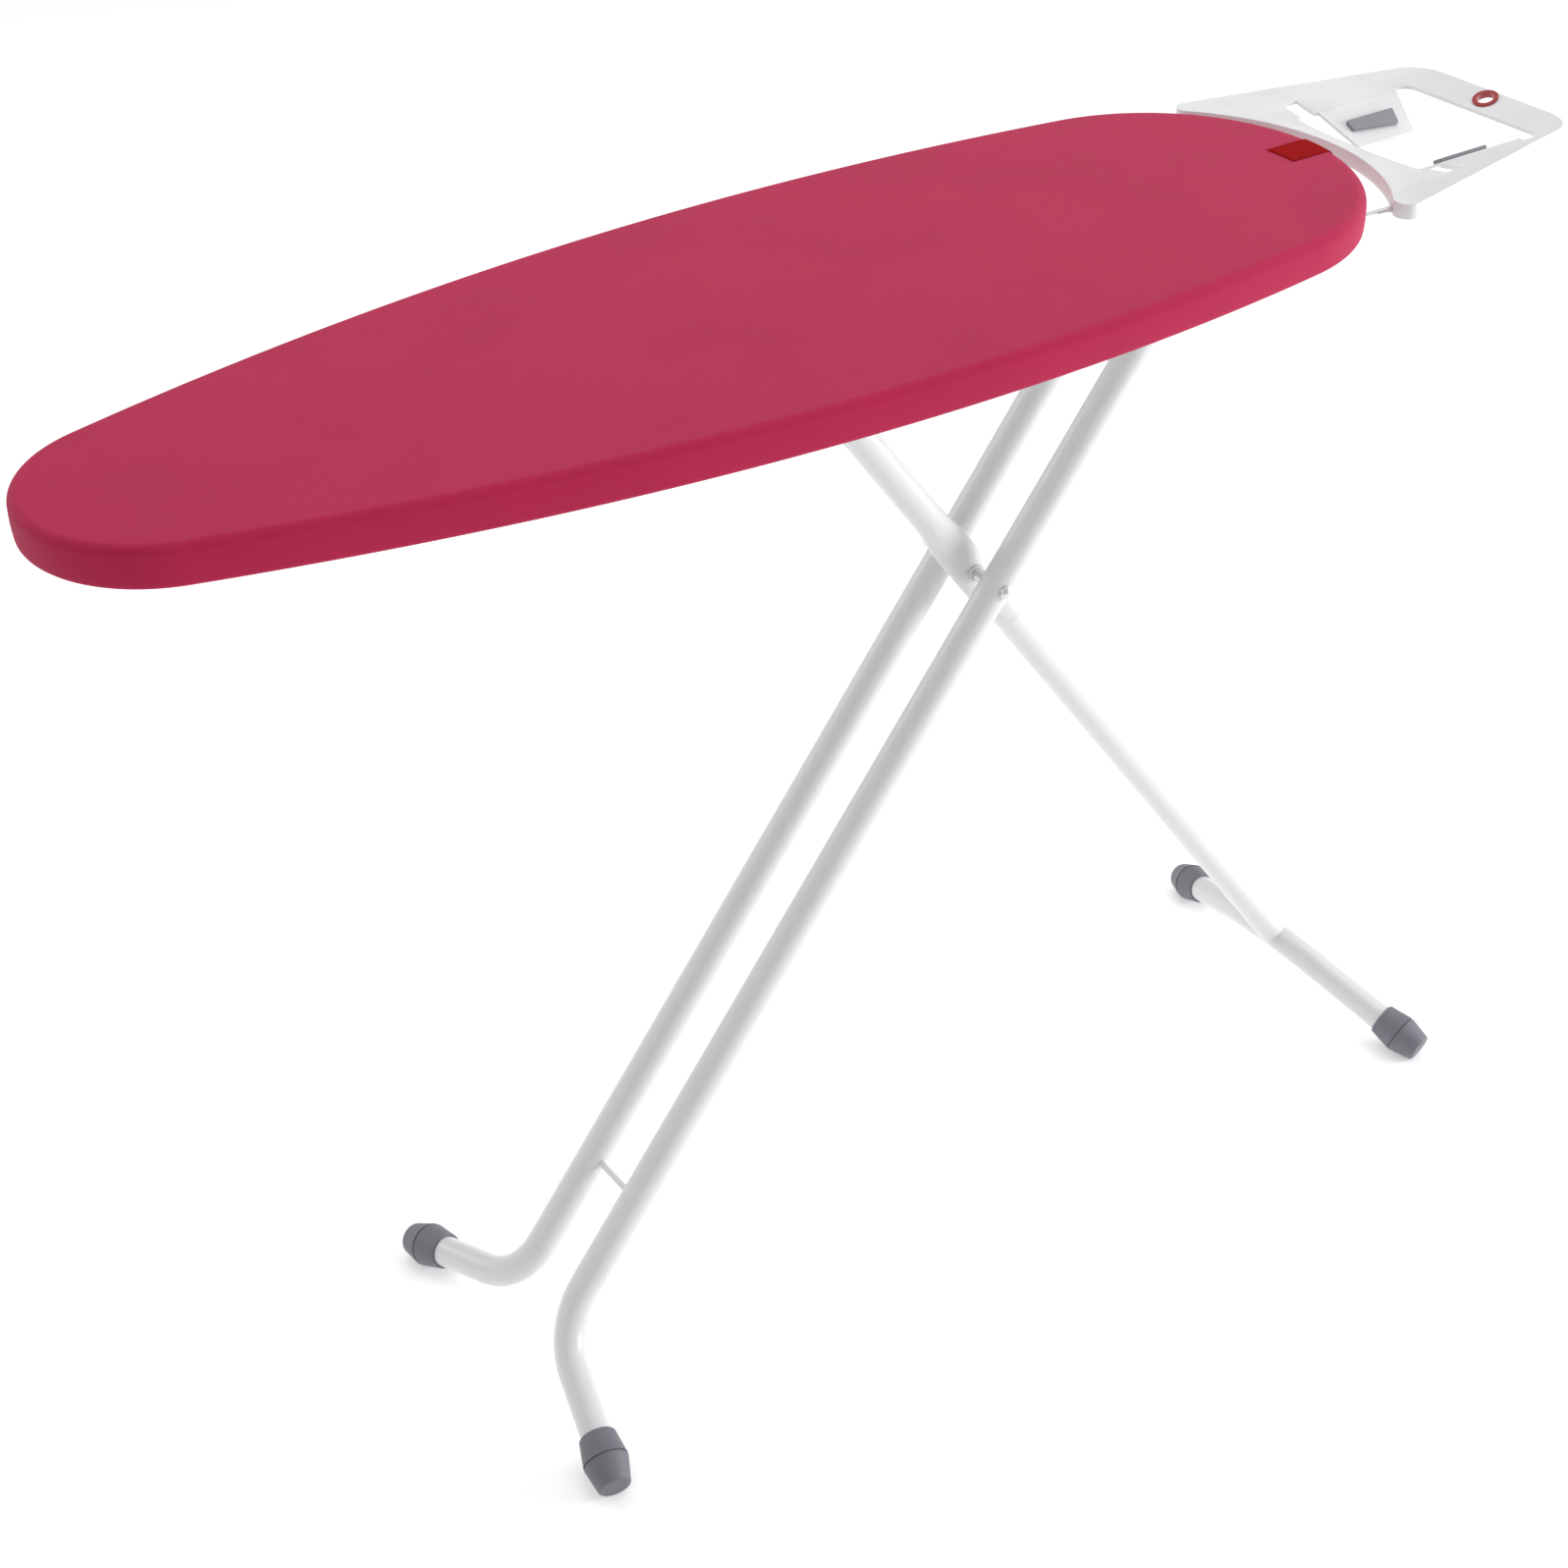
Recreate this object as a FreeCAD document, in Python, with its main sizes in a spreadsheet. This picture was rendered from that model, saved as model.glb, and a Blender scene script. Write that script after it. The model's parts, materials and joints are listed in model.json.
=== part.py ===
import FreeCAD, Part
import math
import os
import Sketcher

# Folding ironing board. Frame: millimetres, +Z up, +X towards the iron rest, floor at z = 0,
# origin on the floor under the middle of the whole board. The long-section plane is y = 0.

V = FreeCAD.Vector
Rot = FreeCAD.Rotation
Place = FreeCAD.Placement
X_AXIS, Y_AXIS, Z_AXIS = V(1, 0, 0), V(0, 1, 0), V(0, 0, 1)

DIMENSIONS = [
    ("surface_top", 954, "ironing surface above the floor"),
    ("cover_thick", 1, "woven cover"),
    ("pad_thick", 8, "foam pad under the cover"),
    ("mesh_thick", 1.2, "perforated steel top"),
    ("skirt_depth", 29, "how far the cover hangs below the surface"),
    ("rim_depth", 18, "height of the pressed rim"),
    ("sheet_gauge", 1.2, "rim, cross member and tube wall"),
    ("nose_x", -581, "centre of the nose arc"),
    ("nose_radius", 102.5, "nose of the board"),
    ("butt_x", 284.5, "centre of the butt arc"),
    ("butt_radius", 169, "butt end of the board"),
    ("side_radius", 2085, "the two long sides"),
    ("hole_radius", 9.5, "perforation of the top"),
    ("hole_pitch", 30, "perforation spacing"),
    ("member_width", 30, "cross member along x"),
    ("member_depth", 16, "cross member height"),
    ("tube_radius", 14, "all leg tubes"),
    ("leg_spread", 35.8, "outer leg tube axis from the middle"),
    ("pivot_x", 91.3, "scissor pivot"),
    ("pivot_z", 652.3, "scissor pivot"),
    ("outer_slope", 51.49, "outer leg from horizontal"),
    ("inner_slope", 54.59, "t leg from horizontal"),
    ("hinge_z", 912, "hinge axle and slide bar height"),
    ("axle_radius", 5, "outer leg axle"),
    ("bar_radius", 4, "slide bar, pivot bolt and lock rod"),
    ("outer_toe_angle", 20.5, "foot run of the outer leg from crosswise"),
    ("inner_toe_angle", 22, "arms of the t bar from crosswise"),
    ("outer_foot_y", 160.3, "middle of an outer leg foot cap"),
    ("inner_foot_y", 161.6, "middle of a t bar foot cap"),
    ("toe_bend", 65, "bend radius of the outer leg tubes"),
    ("bar_bend", 160, "bend radius of the t bar"),
    ("cap_length", 50, "rubber foot cap"),
    ("cap_radius", 20, "cap at its middle"),
    ("cap_mouth", 16.5, "cap at its mouth"),
    ("cap_end", 15, "cap at its end face"),
    ("cap_round", 3, "rounding of the end face"),
    ("run_gap", 0.05, "radial running clearance"),
    ("rail_y", 65, "middle of a slide rail"),
    ("rail_size", 18, "slide rail height and width"),
    ("rail_wall", 1.5, "slide rail wall"),
    ("rail_start", -430, "nose end of the rails"),
    ("rail_end", -20, "butt end of the rails"),
    ("rest_top", 946, "outer edge of the iron rest"),
    ("rest_dish", 10, "fall from its outer edge to its window"),
    ("rest_plate", 3, "iron rest plate"),
    ("rest_skirt", 13, "iron rest wall along the board"),
    ("rest_arc", 191, "concave edge about the butt centre"),
    ("rest_end_x", 683.5, "outer end of the iron rest"),
    ("rest_slope", 0.215, "taper of the iron rest sides"),
    ("window_x0", 510, "window next to the board"),
    ("window_x1", 656, "window at the outer end"),
    ("window_half", 75, "half width of the window"),
    ("rod_y", 124, "iron rest rods from the middle"),
    ("rod_z", 936, "iron rest rods"),
    ("rod_radius", 3, "iron rest rods"),
    ("ring_x", 672, "hanging hole"),
    ("ring_radius", 11.7, "hanging ring outside"),
    ("ring_hole", 8, "hanging ring inside"),
    ("lock_y", 22, "lock rod from the middle"),
    ("lock_z", 922, "lock rod"),
]

doc = FreeCAD.newDocument("ironing_board")
dims = doc.addObject("Spreadsheet::Sheet", "Dims")
for row, (alias, value, note) in enumerate(DIMENSIONS, 1):
    dims.set("A%d" % row, alias)
    dims.set("B%d" % row, str(value))
    dims.set("C%d" % row, note)
    dims.setAlias("B%d" % row, alias)
doc.recompute()

parts = []


# ---------------------------------------------------------------- helpers

def size(expression):
    """Value of an expression in the sheet's aliases, or of a plain number."""
    if isinstance(expression, (int, float)):
        return float(expression)
    answer = dims.evalExpression(expression)
    return float(getattr(answer, "Value", answer))


def bind(thing, prop, expression):
    """Bind a property to the sheet, where the aliases are written as Dims.alias."""
    if isinstance(expression, (int, float)):
        setattr(thing, prop, expression)
        return
    for alias, _, _ in DIMENSIONS:
        expression = " ".join(
            "Dims." + word if word == alias else word for word in expression.split(" "))
    thing.setExpression(prop, expression)


def sub_part(thing, name, placement=None):
    """Register a finished object as the sub-part with this name."""
    for other in doc.getObjectsByLabel(name):
        if other is not thing:
            other.Label = name + "_tool"
    thing.Label = name
    if placement is not None:
        thing.Placement = placement
    parts.append(thing)
    return thing


def primitive(kind, name, placement, **sizes):
    thing = doc.addObject("Part::" + kind, name)
    for prop, expression in sizes.items():
        bind(thing, prop, expression)
    thing.Placement = placement
    return thing


def cylinder(name, start, axis, radius, length):
    turn = Rot(Z_AXIS, axis)
    return primitive("Cylinder", name, Place(start, turn), Radius=radius, Height=length)


def box(name, low, high):
    """Box from corner to corner, its corners given as numbers."""
    gap = high - low
    return primitive("Box", name, Place(low, Rot()), Length=gap.x, Width=gap.y, Height=gap.z)


def cut(name, base, *tools):
    for number, tool in enumerate(tools):
        result = doc.addObject("Part::Cut", "%s_cut%d" % (name, number))
        result.Base = base
        result.Tool = tool
        base = result
    return base


def fuse(name, *shapes):
    result = doc.addObject("Part::MultiFuse", name + "_fuse")
    result.Shapes = list(shapes)
    return result


def group(name, shapes):
    """Separate solids kept in one node."""
    result = doc.addObject("Part::Compound", name + "_group")
    result.Links = list(shapes)
    return result


def sleeve(name, start, axis, outer, inner, length):
    body = cylinder(name + "_outer", start, axis, outer, length)
    bore = cylinder(name + "_bore", start, axis, inner, length)
    return cut(name, body, bore)


def new_body(name):
    return doc.addObject("PartDesign::Body", name + "_body")


def new_sketch(body, plane, lift=0):
    """Sketch on one of the body's own origin planes, lifted along the plane's normal."""
    sketch = body.newObject("Sketcher::SketchObject", body.Name + "_sketch")
    base = [f for f in body.Origin.OriginFeatures if f.Role == plane][0]
    sketch.AttachmentSupport = [(base, "")]
    sketch.MapMode = "FlatFace"
    if isinstance(lift, str):
        bind(sketch, "AttachmentOffset.Base.z", lift)
    else:
        sketch.AttachmentOffset = Place(V(0, 0, lift), Rot())
    return sketch


def pin_point(sketch, geometry, point, x, y):
    """Hold a sketch point at x, y, both expressions or numbers."""
    for axis, value, kind in ((-2, x, "DistanceX"), (-1, y, "DistanceY")):
        number = size(value)
        if abs(number) < 1e-9:
            sketch.addConstraint(Sketcher.Constraint("PointOnObject", geometry, point, axis))
            continue
        ends = (-1, 1, geometry, point) if number > 0 else (geometry, point, -1, 1)
        index = sketch.addConstraint(Sketcher.Constraint(kind, *ends, abs(number)))
        if isinstance(value, str):
            signed = value if number > 0 else "-1 * ( " + value + " )"
            bind(sketch, "Constraints[%d]" % index, signed)


def radius_of(sketch, geometry, value):
    index = sketch.addConstraint(Sketcher.Constraint("Radius", geometry, size(value)))
    if isinstance(value, str):
        bind(sketch, "Constraints[%d]" % index, value)


def polygon(sketch, corners):
    """Closed polygon through corners given as (x, y) expressions or numbers."""
    first = sketch.GeometryCount
    points = [V(size(x), size(y), 0) for x, y in corners]
    count = len(points)
    for n in range(count):
        sketch.addGeometry(Part.LineSegment(points[n], points[(n + 1) % count]), False)
    for n in range(count):
        link = (first + n, 2, first + (n + 1) % count, 1)
        sketch.addConstraint(Sketcher.Constraint("Coincident", *link))
        pin_point(sketch, first + n, 1, *corners[n])


def circle(sketch, x, y, radius):
    index = sketch.addGeometry(Part.Circle(V(size(x), size(y), 0), Z_AXIS, size(radius)), False)
    pin_point(sketch, index, 3, x, y)
    radius_of(sketch, index, radius)


def feature(body, kind, sketch, **settings):
    result = body.newObject("PartDesign::" + kind, body.Name + "_" + kind.lower())
    result.Profile = sketch
    for prop, value in settings.items():
        if isinstance(value, str) and prop in ("Length", "Length2", "Angle"):
            bind(result, prop, value)
        else:
            setattr(result, prop, value)
    return result


# ------------------------------------------------- where the linkage stands

def radians(alias):
    return math.radians(size(alias))


class Linkage:
    """Points of the scissor frame, worked out from the pivot and the two slopes."""

    pivot = V(size("pivot_x"), 0, size("pivot_z"))
    rise = size("hinge_z - pivot_z")
    link = rise / math.sin(radians("inner_slope"))
    half = link * math.cos(radians("inner_slope"))
    hinge = pivot + V(half, 0, rise)
    slide = pivot + V(-half, 0, rise)


def outer_frame():
    """Local frame of the outer leg: +x up the tubes, +y crosswise, origin at the pivot."""
    return Place(Linkage.pivot, Rot(Y_AXIS, -size("outer_slope")))


def inner_frame():
    """Local frame of the t leg: +x up the tube, +y crosswise, origin at the pivot."""
    return Place(Linkage.pivot, Rot(Y_AXIS, size("inner_slope") - 180))


def foot_height(toe, slope):
    """Height of a cap's middle when the rounded edge of its end face just meets the floor."""
    dip = math.sin(radians(toe)) * math.sin(radians(slope))
    level = math.sqrt(1 - dip * dip)
    along = size("cap_length / 2 - cap_round")
    return along * dip + size("cap_end - cap_round") * level + size("cap_round")


def foot_reach(toe, slope):
    """Distance from the pivot, down the leg plane, to the middle of a cap."""
    return (Linkage.pivot.z - foot_height(toe, slope)) / math.sin(radians(slope))


# ------------------------------------------------------------- board outline

def tangent_centre():
    """Centre of the side arc (+y side of the board) that touches the nose and butt arcs."""
    reach_nose = size("side_radius - nose_radius")
    reach_butt = size("side_radius - butt_radius")
    span = size("butt_x - nose_x")
    along = (reach_nose ** 2 - reach_butt ** 2 + span ** 2) / (2 * span)
    return V(size("nose_x") + along, -math.sqrt(reach_nose ** 2 - along ** 2), 0)


def half_width(x, inset=0):
    """Half width of the board at x, between the two end arcs."""
    centre = tangent_centre()
    return centre.y + math.sqrt((size("side_radius") - inset) ** 2 - (x - centre.x) ** 2)


def outline(sketch, inset):
    """Closed outline of the board, set in by a number of millimetres."""
    nose = V(size("nose_x"), 0, 0)
    butt = V(size("butt_x"), 0, 0)
    up = tangent_centre()
    down = V(up.x, -up.y, 0)
    angle_nose = math.atan2(-up.y, nose.x - up.x)
    angle_butt = math.atan2(-up.y, butt.x - up.x)
    first = sketch.GeometryCount
    arcs = [
        (nose, "nose_radius", angle_nose, 2 * math.pi - angle_nose),
        (down, "side_radius", -angle_nose, -angle_butt),
        (butt, "butt_radius", -angle_butt, angle_butt),
        (up, "side_radius", angle_butt, angle_nose),
    ]
    for centre, alias, start, end in arcs:
        ring = Part.Circle(centre, Z_AXIS, size(alias) - inset)
        sketch.addGeometry(Part.ArcOfCircle(ring, start, end), False)
    for n, (centre, alias, _, _) in enumerate(arcs):
        link = (first + n, 2, first + (n + 1) % 4, 1)
        sketch.addConstraint(Sketcher.Constraint("Tangent", *link))
        radius_of(sketch, first + n, "%s - %s" % (alias, inset) if inset else alias)
    pin_point(sketch, first, 3, "nose_x", 0)
    pin_point(sketch, first + 2, 3, "butt_x", 0)


def board_plate(name, inset, bottom, height):
    """Solid slab with the board's outline."""
    body = new_body(name)
    sketch = new_sketch(body, "XY_Plane", bottom)
    outline(sketch, inset)
    feature(body, "Pad", sketch, Length=height)
    return body


# --------------------------------------------------------------- board parts

MESH_TOP = "surface_top - cover_thick - pad_thick"
RIM_TOP = MESH_TOP + " - mesh_thick"
RIM_BOTTOM = RIM_TOP + " - rim_depth"
COVER_BOTTOM = "surface_top - skirt_depth - cover_thick"
MEMBER_BOTTOM = RIM_TOP + " - member_depth"
RIM_INSET = 1.3


def rod_holes(radius):
    """Drills for the two iron rest rods, through whatever stands at the butt end."""
    start = size("butt_x") + 60
    return [
        cylinder("rod_drill", V(start, side * size("rod_y"), size("rod_z")), X_AXIS, radius, 100)
        for side in (-1, 1)
    ]


TAG_LENGTH = 50
TAG_WIDTH = 33
TAG_GAUGE = 0.5
TAG_FOLD = 12


def tag_boxes(name, slack):
    """The tag's flat part, flush with the soft surface, and its fold down outside the butt end."""
    top = size("surface_top")
    reach = size("butt_x + butt_radius")
    start = V(reach - TAG_LENGTH - slack, -TAG_WIDTH - slack, top - TAG_GAUGE - slack)
    flat = box(name + "_flat", start, V(reach + TAG_GAUGE, slack, top))
    fold = box(name + "_fold", V(reach + 0.02, -TAG_WIDTH - slack, top - TAG_FOLD),
               V(reach + TAG_GAUGE, slack, top - TAG_GAUGE - slack))
    return flat, fold


def make_cover():
    body = board_plate("cover", 0, COVER_BOTTOM, "skirt_depth + cover_thick")
    inside = new_sketch(body, "XY_Plane", "surface_top - cover_thick")
    outline(inside, 1)
    feature(body, "Pocket", inside, Length="skirt_depth - cover_thick")
    mouth = new_sketch(body, "XY_Plane", COVER_BOTTOM)
    outline(mouth, 17)
    feature(body, "Pocket", mouth, Length="cover_thick * 3", Reversed=True)
    seat, _ = tag_boxes("tag_seat", 0.02)
    return sub_part(cut("cover", body, seat, *rod_holes("rod_radius + 1.5")), "cover")


def make_hem_elastic():
    body = board_plate("elastic", 11, size(COVER_BOTTOM) - 2.5, 2.5)
    mouth = new_sketch(body, "XY_Plane", COVER_BOTTOM)
    outline(mouth, 17)
    feature(body, "Pocket", mouth, Length=5)
    return sub_part(body, "hem_elastic")


def make_pad():
    return sub_part(board_plate("pad", RIM_INSET, MESH_TOP, "pad_thick"), "foam_pad")


def make_tag():
    """Woven tag sewn on near the butt end, sunk in the soft pad and folded down over the edge."""
    flat, fold = tag_boxes("tag", 0)
    return sub_part(fuse("tag", flat, fold), "woven_tag")


def make_mesh():
    """Perforated top: staggered round holes, all clear of the rim and the cross members."""
    inset, pitch, radius = RIM_INSET, size("hole_pitch"), size("hole_radius")
    body = board_plate("mesh", inset, RIM_TOP, "mesh_thick")
    doc.recompute()
    drills = []
    step = pitch * math.sqrt(3) / 2
    low = size("nose_x - nose_radius")
    count = int(size("butt_x + butt_radius - nose_x + nose_radius") / step)
    for column in range(1, count):
        x = low + column * step
        shift = pitch / 2 if column % 2 else 0
        for line in range(-7, 8):
            y = line * pitch + shift
            if room_for_hole(x, y, radius + 22):
                drills.append(Part.makeCylinder(radius, 10, V(x, y, size(RIM_TOP) - 2)))
    tool = doc.addObject("Part::Feature", "mesh_drills")
    tool.Shape = Part.makeCompound(drills)
    return sub_part(cut("mesh", body, tool), "mesh_top")


def room_for_hole(x, y, margin):
    """True where a hole stays inside the outline by the margin."""
    ends = ((size("nose_x"), size("nose_radius"), -1), (size("butt_x"), size("butt_radius"), 1))
    for centre, radius, side in ends:
        if (x - centre) * side > 0:
            return math.hypot(x - centre, y) + margin < radius
    return abs(y) + margin < half_width(x)


def make_rim():
    """Pressed steel rim: an upright wall with an inward foot."""
    body = board_plate("rim", RIM_INSET, RIM_BOTTOM, "rim_depth")
    inside = new_sketch(body, "XY_Plane", RIM_TOP)
    outline(inside, RIM_INSET + 1.2)
    feature(body, "Pocket", inside, Length="rim_depth - sheet_gauge")
    mouth = new_sketch(body, "XY_Plane", RIM_BOTTOM)
    outline(mouth, 14)
    feature(body, "Pocket", mouth, Length="sheet_gauge * 3", Reversed=True)
    return sub_part(cut("rim", body, *rod_holes("rod_radius + 0.5")), "board_rim")


MEMBERS = (("crossmember_front", -415), ("crossmember_middle", -35), ("crossmember_rear", None))


def member_x(name):
    place = dict(MEMBERS)[name]
    return Linkage.hinge.x if place is None else place


def make_crossmember(name):
    """Channel across the board, open downwards, its ends against the rim wall."""
    middle = member_x(name)
    half = size("member_width / 2")
    reach = min(half_width(middle - half), half_width(middle + half)) - RIM_INSET - 1.5
    body = new_body(name)
    sketch = new_sketch(body, "XZ_Plane")
    low, high, wall = MEMBER_BOTTOM, RIM_TOP, size("sheet_gauge")
    left, right = middle - half, middle + half
    roof = RIM_TOP + " - sheet_gauge"
    polygon(sketch, [
        (left, low), (left, high), (right, high), (right, low),
        (right - wall, low), (right - wall, roof), (left + wall, roof), (left + wall, low)])
    feature(body, "Pad", sketch, Length=2 * reach, SideType="Symmetric")
    tools = []
    if name == "crossmember_rear":
        tools = rod_tunnels(left, right)
    return sub_part(cut(name, body, *tools) if tools else body, name)


def rod_tunnels(left, right):
    """Holes that leave the rear cross member open to the iron rest's rods."""
    return [
        cylinder("tunnel", V(left - 1, side * size("rod_y"), size("rod_z")), X_AXIS, 4.5,
                 right - left + 2)
        for side in (-1, 1)
    ]


# ---------------------------------------------------------- hinge of the leg

def make_hinge_bracket(name, side):
    """U bracket under the rear cross member, astride one lug of the outer leg."""
    body = new_body(name)
    sketch = new_sketch(body, "YZ_Plane", Linkage.hinge.x)
    ear, gap = 3, 5.5
    inner, outer = gap, gap + ear
    top = MEMBER_BOTTOM
    low = size("hinge_z") - 12
    web = size(MEMBER_BOTTOM) - ear
    middle = side * size("leg_spread")
    polygon(sketch, [
        (middle - outer, top), (middle + outer, top), (middle + outer, low),
        (middle + inner, low), (middle + inner, web), (middle - inner, web),
        (middle - inner, low), (middle - outer, low)])
    feature(body, "Pad", sketch, Length=24, SideType="Symmetric")
    start = Linkage.hinge + V(0, -80, 0)
    drill = cylinder(name + "_drill", start, Y_AXIS, "axle_radius", 160)
    return sub_part(cut(name, body, drill), name)


def make_axle():
    start = Linkage.hinge + V(0, -50, 0)
    return sub_part(cylinder("axle", start, Y_AXIS, "axle_radius", 100), "hinge_axle")


def make_axle_caps():
    caps = []
    for side in (-1, 1):
        start = Linkage.hinge + V(0, 47 if side > 0 else -50, 0)
        caps.append(sleeve("axle_cap", start, Y_AXIS, 9, "axle_radius", 3))
    return sub_part(group("axle_caps", caps), "axle_caps")


# ------------------------------------------------------------ slide and lock

def make_slide_rail(name, side):
    """C channel, open towards the middle, in which a slider runs."""
    body = new_body(name)
    sketch = new_sketch(body, "YZ_Plane", "rail_start")
    half, wall = size("rail_size / 2"), size("rail_wall")
    middle, level = side * size("rail_y"), size("hinge_z")
    back, mouth = middle + side * half, middle - side * half
    polygon(sketch, [
        (mouth, level - half), (back, level - half), (back, level + half),
        (mouth, level + half), (mouth, level + half - wall), (back - side * wall, level + half - wall),
        (back - side * wall, level - half + wall), (mouth, level - half + wall)])
    feature(body, "Pad", sketch, Length="rail_end - rail_start")
    return sub_part(body, name)


def make_rail_spacers():
    """Blocks between the rails and the front and middle cross members."""
    low, high = size("hinge_z + rail_size / 2"), size(MEMBER_BOTTOM)
    half = size("member_width / 2")
    blocks = []
    for name in ("crossmember_front", "crossmember_middle"):
        for side in (-1, 1):
            x, y = member_x(name), side * size("rail_y")
            blocks.append(box("spacer", V(x - half, y - 8, low), V(x + half, y + 8, high)))
    return sub_part(group("rail_spacers", blocks), "rail_spacers")


def make_rail_stops():
    """Cross pins that keep the sliders in the rails."""
    pins = []
    level = size("hinge_z - rail_size / 2 + rail_wall")
    for x in (size("rail_start") + 15, size("rail_end") - 15):
        for side in (-1, 1):
            start = V(x, side * size("rail_y"), level)
            pins.append(cylinder("stop_pin", start, Z_AXIS, 3, "rail_size - 2 * rail_wall"))
    return sub_part(group("rail_stops", pins), "rail_stop_pins")


def make_slide_bar():
    start = Linkage.slide + V(0, -71, 0)
    return sub_part(cylinder("slide_bar_rod", start, Y_AXIS, "bar_radius", 142), "slide_bar")


def make_slider(name, side):
    """Nylon block on the end of the slide bar, 0.3 mm clear of its rail all round."""
    reach = size("rail_size / 2 - rail_wall") - 0.3
    middle = side * size("rail_y")
    inner, outer = middle - side * 8, middle + side * 7.2
    low = V(Linkage.slide.x - 18, min(inner, outer), Linkage.slide.z - reach)
    high = V(Linkage.slide.x + 18, max(inner, outer), Linkage.slide.z + reach)
    block = box(name + "_block", low, high)
    drill = cylinder(name + "_drill", Linkage.slide + V(0, -90, 0), Y_AXIS, "bar_radius", 180)
    return sub_part(cut(name, block, drill), name)


def make_lock_rod():
    """Rod that travels with the slide bar and runs through the lock."""
    start = V(Linkage.slide.x - 8, size("lock_y"), size("lock_z"))
    return sub_part(cylinder("lock", start, X_AXIS, "bar_radius", 448), "lock_rod")


def make_rod_yoke():
    """Block that ties the lock rod to the slide bar."""
    y, low, high = size("lock_y"), size("hinge_z") - 6.5, size("lock_z") + 5
    x = Linkage.slide.x
    wall = 1.5
    near, far = y - size("bar_radius") - wall, y + size("bar_radius") + wall
    block = box("yoke_block", V(x - 8, near, low), V(x + 10, far, high))
    bar = cylinder("yoke_bar", V(x, y - 20, size("hinge_z")), Y_AXIS, "bar_radius", 40)
    rod = cylinder("yoke_rod", V(x - 20, y, size("lock_z")), X_AXIS, "bar_radius", 60)
    return sub_part(cut("yoke", block, bar, rod), "rod_yoke")


def lock_x():
    return member_x("crossmember_middle") + size("member_width / 2")


def make_lock_housing():
    """Bridge on the middle cross member with an end plate at each side of the clutch."""
    x, y, z = lock_x(), size("lock_y"), size("lock_z")
    front = box("housing_front", V(x, y - 42, z - 10), V(x + 3, y + 14, z + 19))
    rear = box("housing_rear", V(x + 67, y - 42, z - 10), V(x + 70, y + 14, z + 9))
    web = box("housing_web", V(x, y - 42, z + 6), V(x + 70, y + 14, z + 9))
    drill = cylinder("housing_drill", V(x - 5, y, z), X_AXIS, "bar_radius + 0.3", 90)
    pin = cylinder("housing_pin_hole", lever_pivot() + V(0, 0, -5), Z_AXIS, 4, 40)
    return sub_part(cut("housing", fuse("housing", front, rear, web), drill, pin), "lock_housing")


def make_clutch_plates():
    """Two canted plates round the lock rod."""
    plates = []
    for number in range(2):
        x = lock_x() + 14 + 7 * number
        block = box("plate_block", V(-1.5, -9, -14), V(1.5, 9, 5))
        drill = cylinder("plate_drill", V(-5, 0, 0), X_AXIS, "bar_radius + 0.6", 10)
        plate = cut("plate", block, drill)
        plate.Placement = Place(V(x, size("lock_y"), size("lock_z")), Rot(Y_AXIS, 4))
        plates.append(plate)
    return sub_part(group("clutch_plates", plates), "clutch_plates")


def make_clutch_spring():
    """Coil spring round the lock rod, between the plates and the rear end plate."""
    radius, wire, length = 5.4, 0.6, 38
    x, y, z = lock_x() + 28, size("lock_y"), size("lock_z")
    coil = doc.addObject("Part::Helix", "spring_path")
    coil.Pitch = 5
    coil.Height = length
    coil.Radius = radius
    ring = doc.addObject("Part::Circle", "spring_wire")
    ring.Radius = wire
    ring.Placement = Place(V(radius, 0, 0), Rot(X_AXIS, 90))
    doc.recompute()
    sweep = doc.addObject("Part::Sweep", "spring_sweep")
    sweep.Sections = [ring]
    sweep.Spine = (coil, ["Edge%d" % (n + 1) for n in range(len(coil.Shape.Edges))])
    sweep.Solid = True
    sweep.Frenet = True
    sweep.Placement = Place(V(x, y, z), Rot(Y_AXIS, 90))
    return sub_part(sweep, "clutch_spring")


# -------------------------------------------------------------- height lever

def lever_pivot():
    return V(lock_x() + 52, -10, size("lock_z") - 14)


LEVER_END = -132
GRIP_START = 84
GRIP_LENGTH = 56


def make_height_lever():
    """Flat lever: a short finger beside the clutch plates and a long arm to the board's edge."""
    pivot = lever_pivot()
    body = new_body("lever")
    sketch = new_sketch(body, "XY_Plane", pivot.z)
    polygon(sketch, [
        (pivot.x - 24, 16), (pivot.x - 24, 24), (pivot.x - 14, 26), (pivot.x + 9, -2),
        (pivot.x + 9, LEVER_END), (pivot.x - 9, LEVER_END), (pivot.x - 9, -8)])
    feature(body, "Pad", sketch, Length=3)
    hole = new_sketch(body, "XY_Plane", pivot.z)
    circle(hole, pivot.x, pivot.y, "bar_radius + run_gap")
    feature(body, "Pocket", hole, Length=5, Reversed=True)
    return sub_part(body, "height_lever")


def make_lever_grip():
    """Moulded grip over the end of the lever."""
    pivot = lever_pivot()
    body = new_body("grip")
    sketch = new_sketch(body, "XZ_Plane", GRIP_START)
    half, low, high = 13, pivot.z - 4, pivot.z + 7
    polygon(sketch, [
        (pivot.x - half, low + 3), (pivot.x - half, high - 3), (pivot.x - half + 3, high),
        (pivot.x + half - 3, high), (pivot.x + half, high - 3), (pivot.x + half, low + 3),
        (pivot.x + half - 3, low), (pivot.x - half + 3, low)])
    feature(body, "Pad", sketch, Length=GRIP_LENGTH)
    slot = new_sketch(body, "XZ_Plane", GRIP_START)
    polygon(slot, [
        (pivot.x - 9, pivot.z), (pivot.x - 9, pivot.z + 3),
        (pivot.x + 9, pivot.z + 3), (pivot.x + 9, pivot.z)])
    feature(body, "Pocket", slot, Length=-LEVER_END - GRIP_START, Reversed=True)
    return sub_part(body, "lever_grip")


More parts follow.
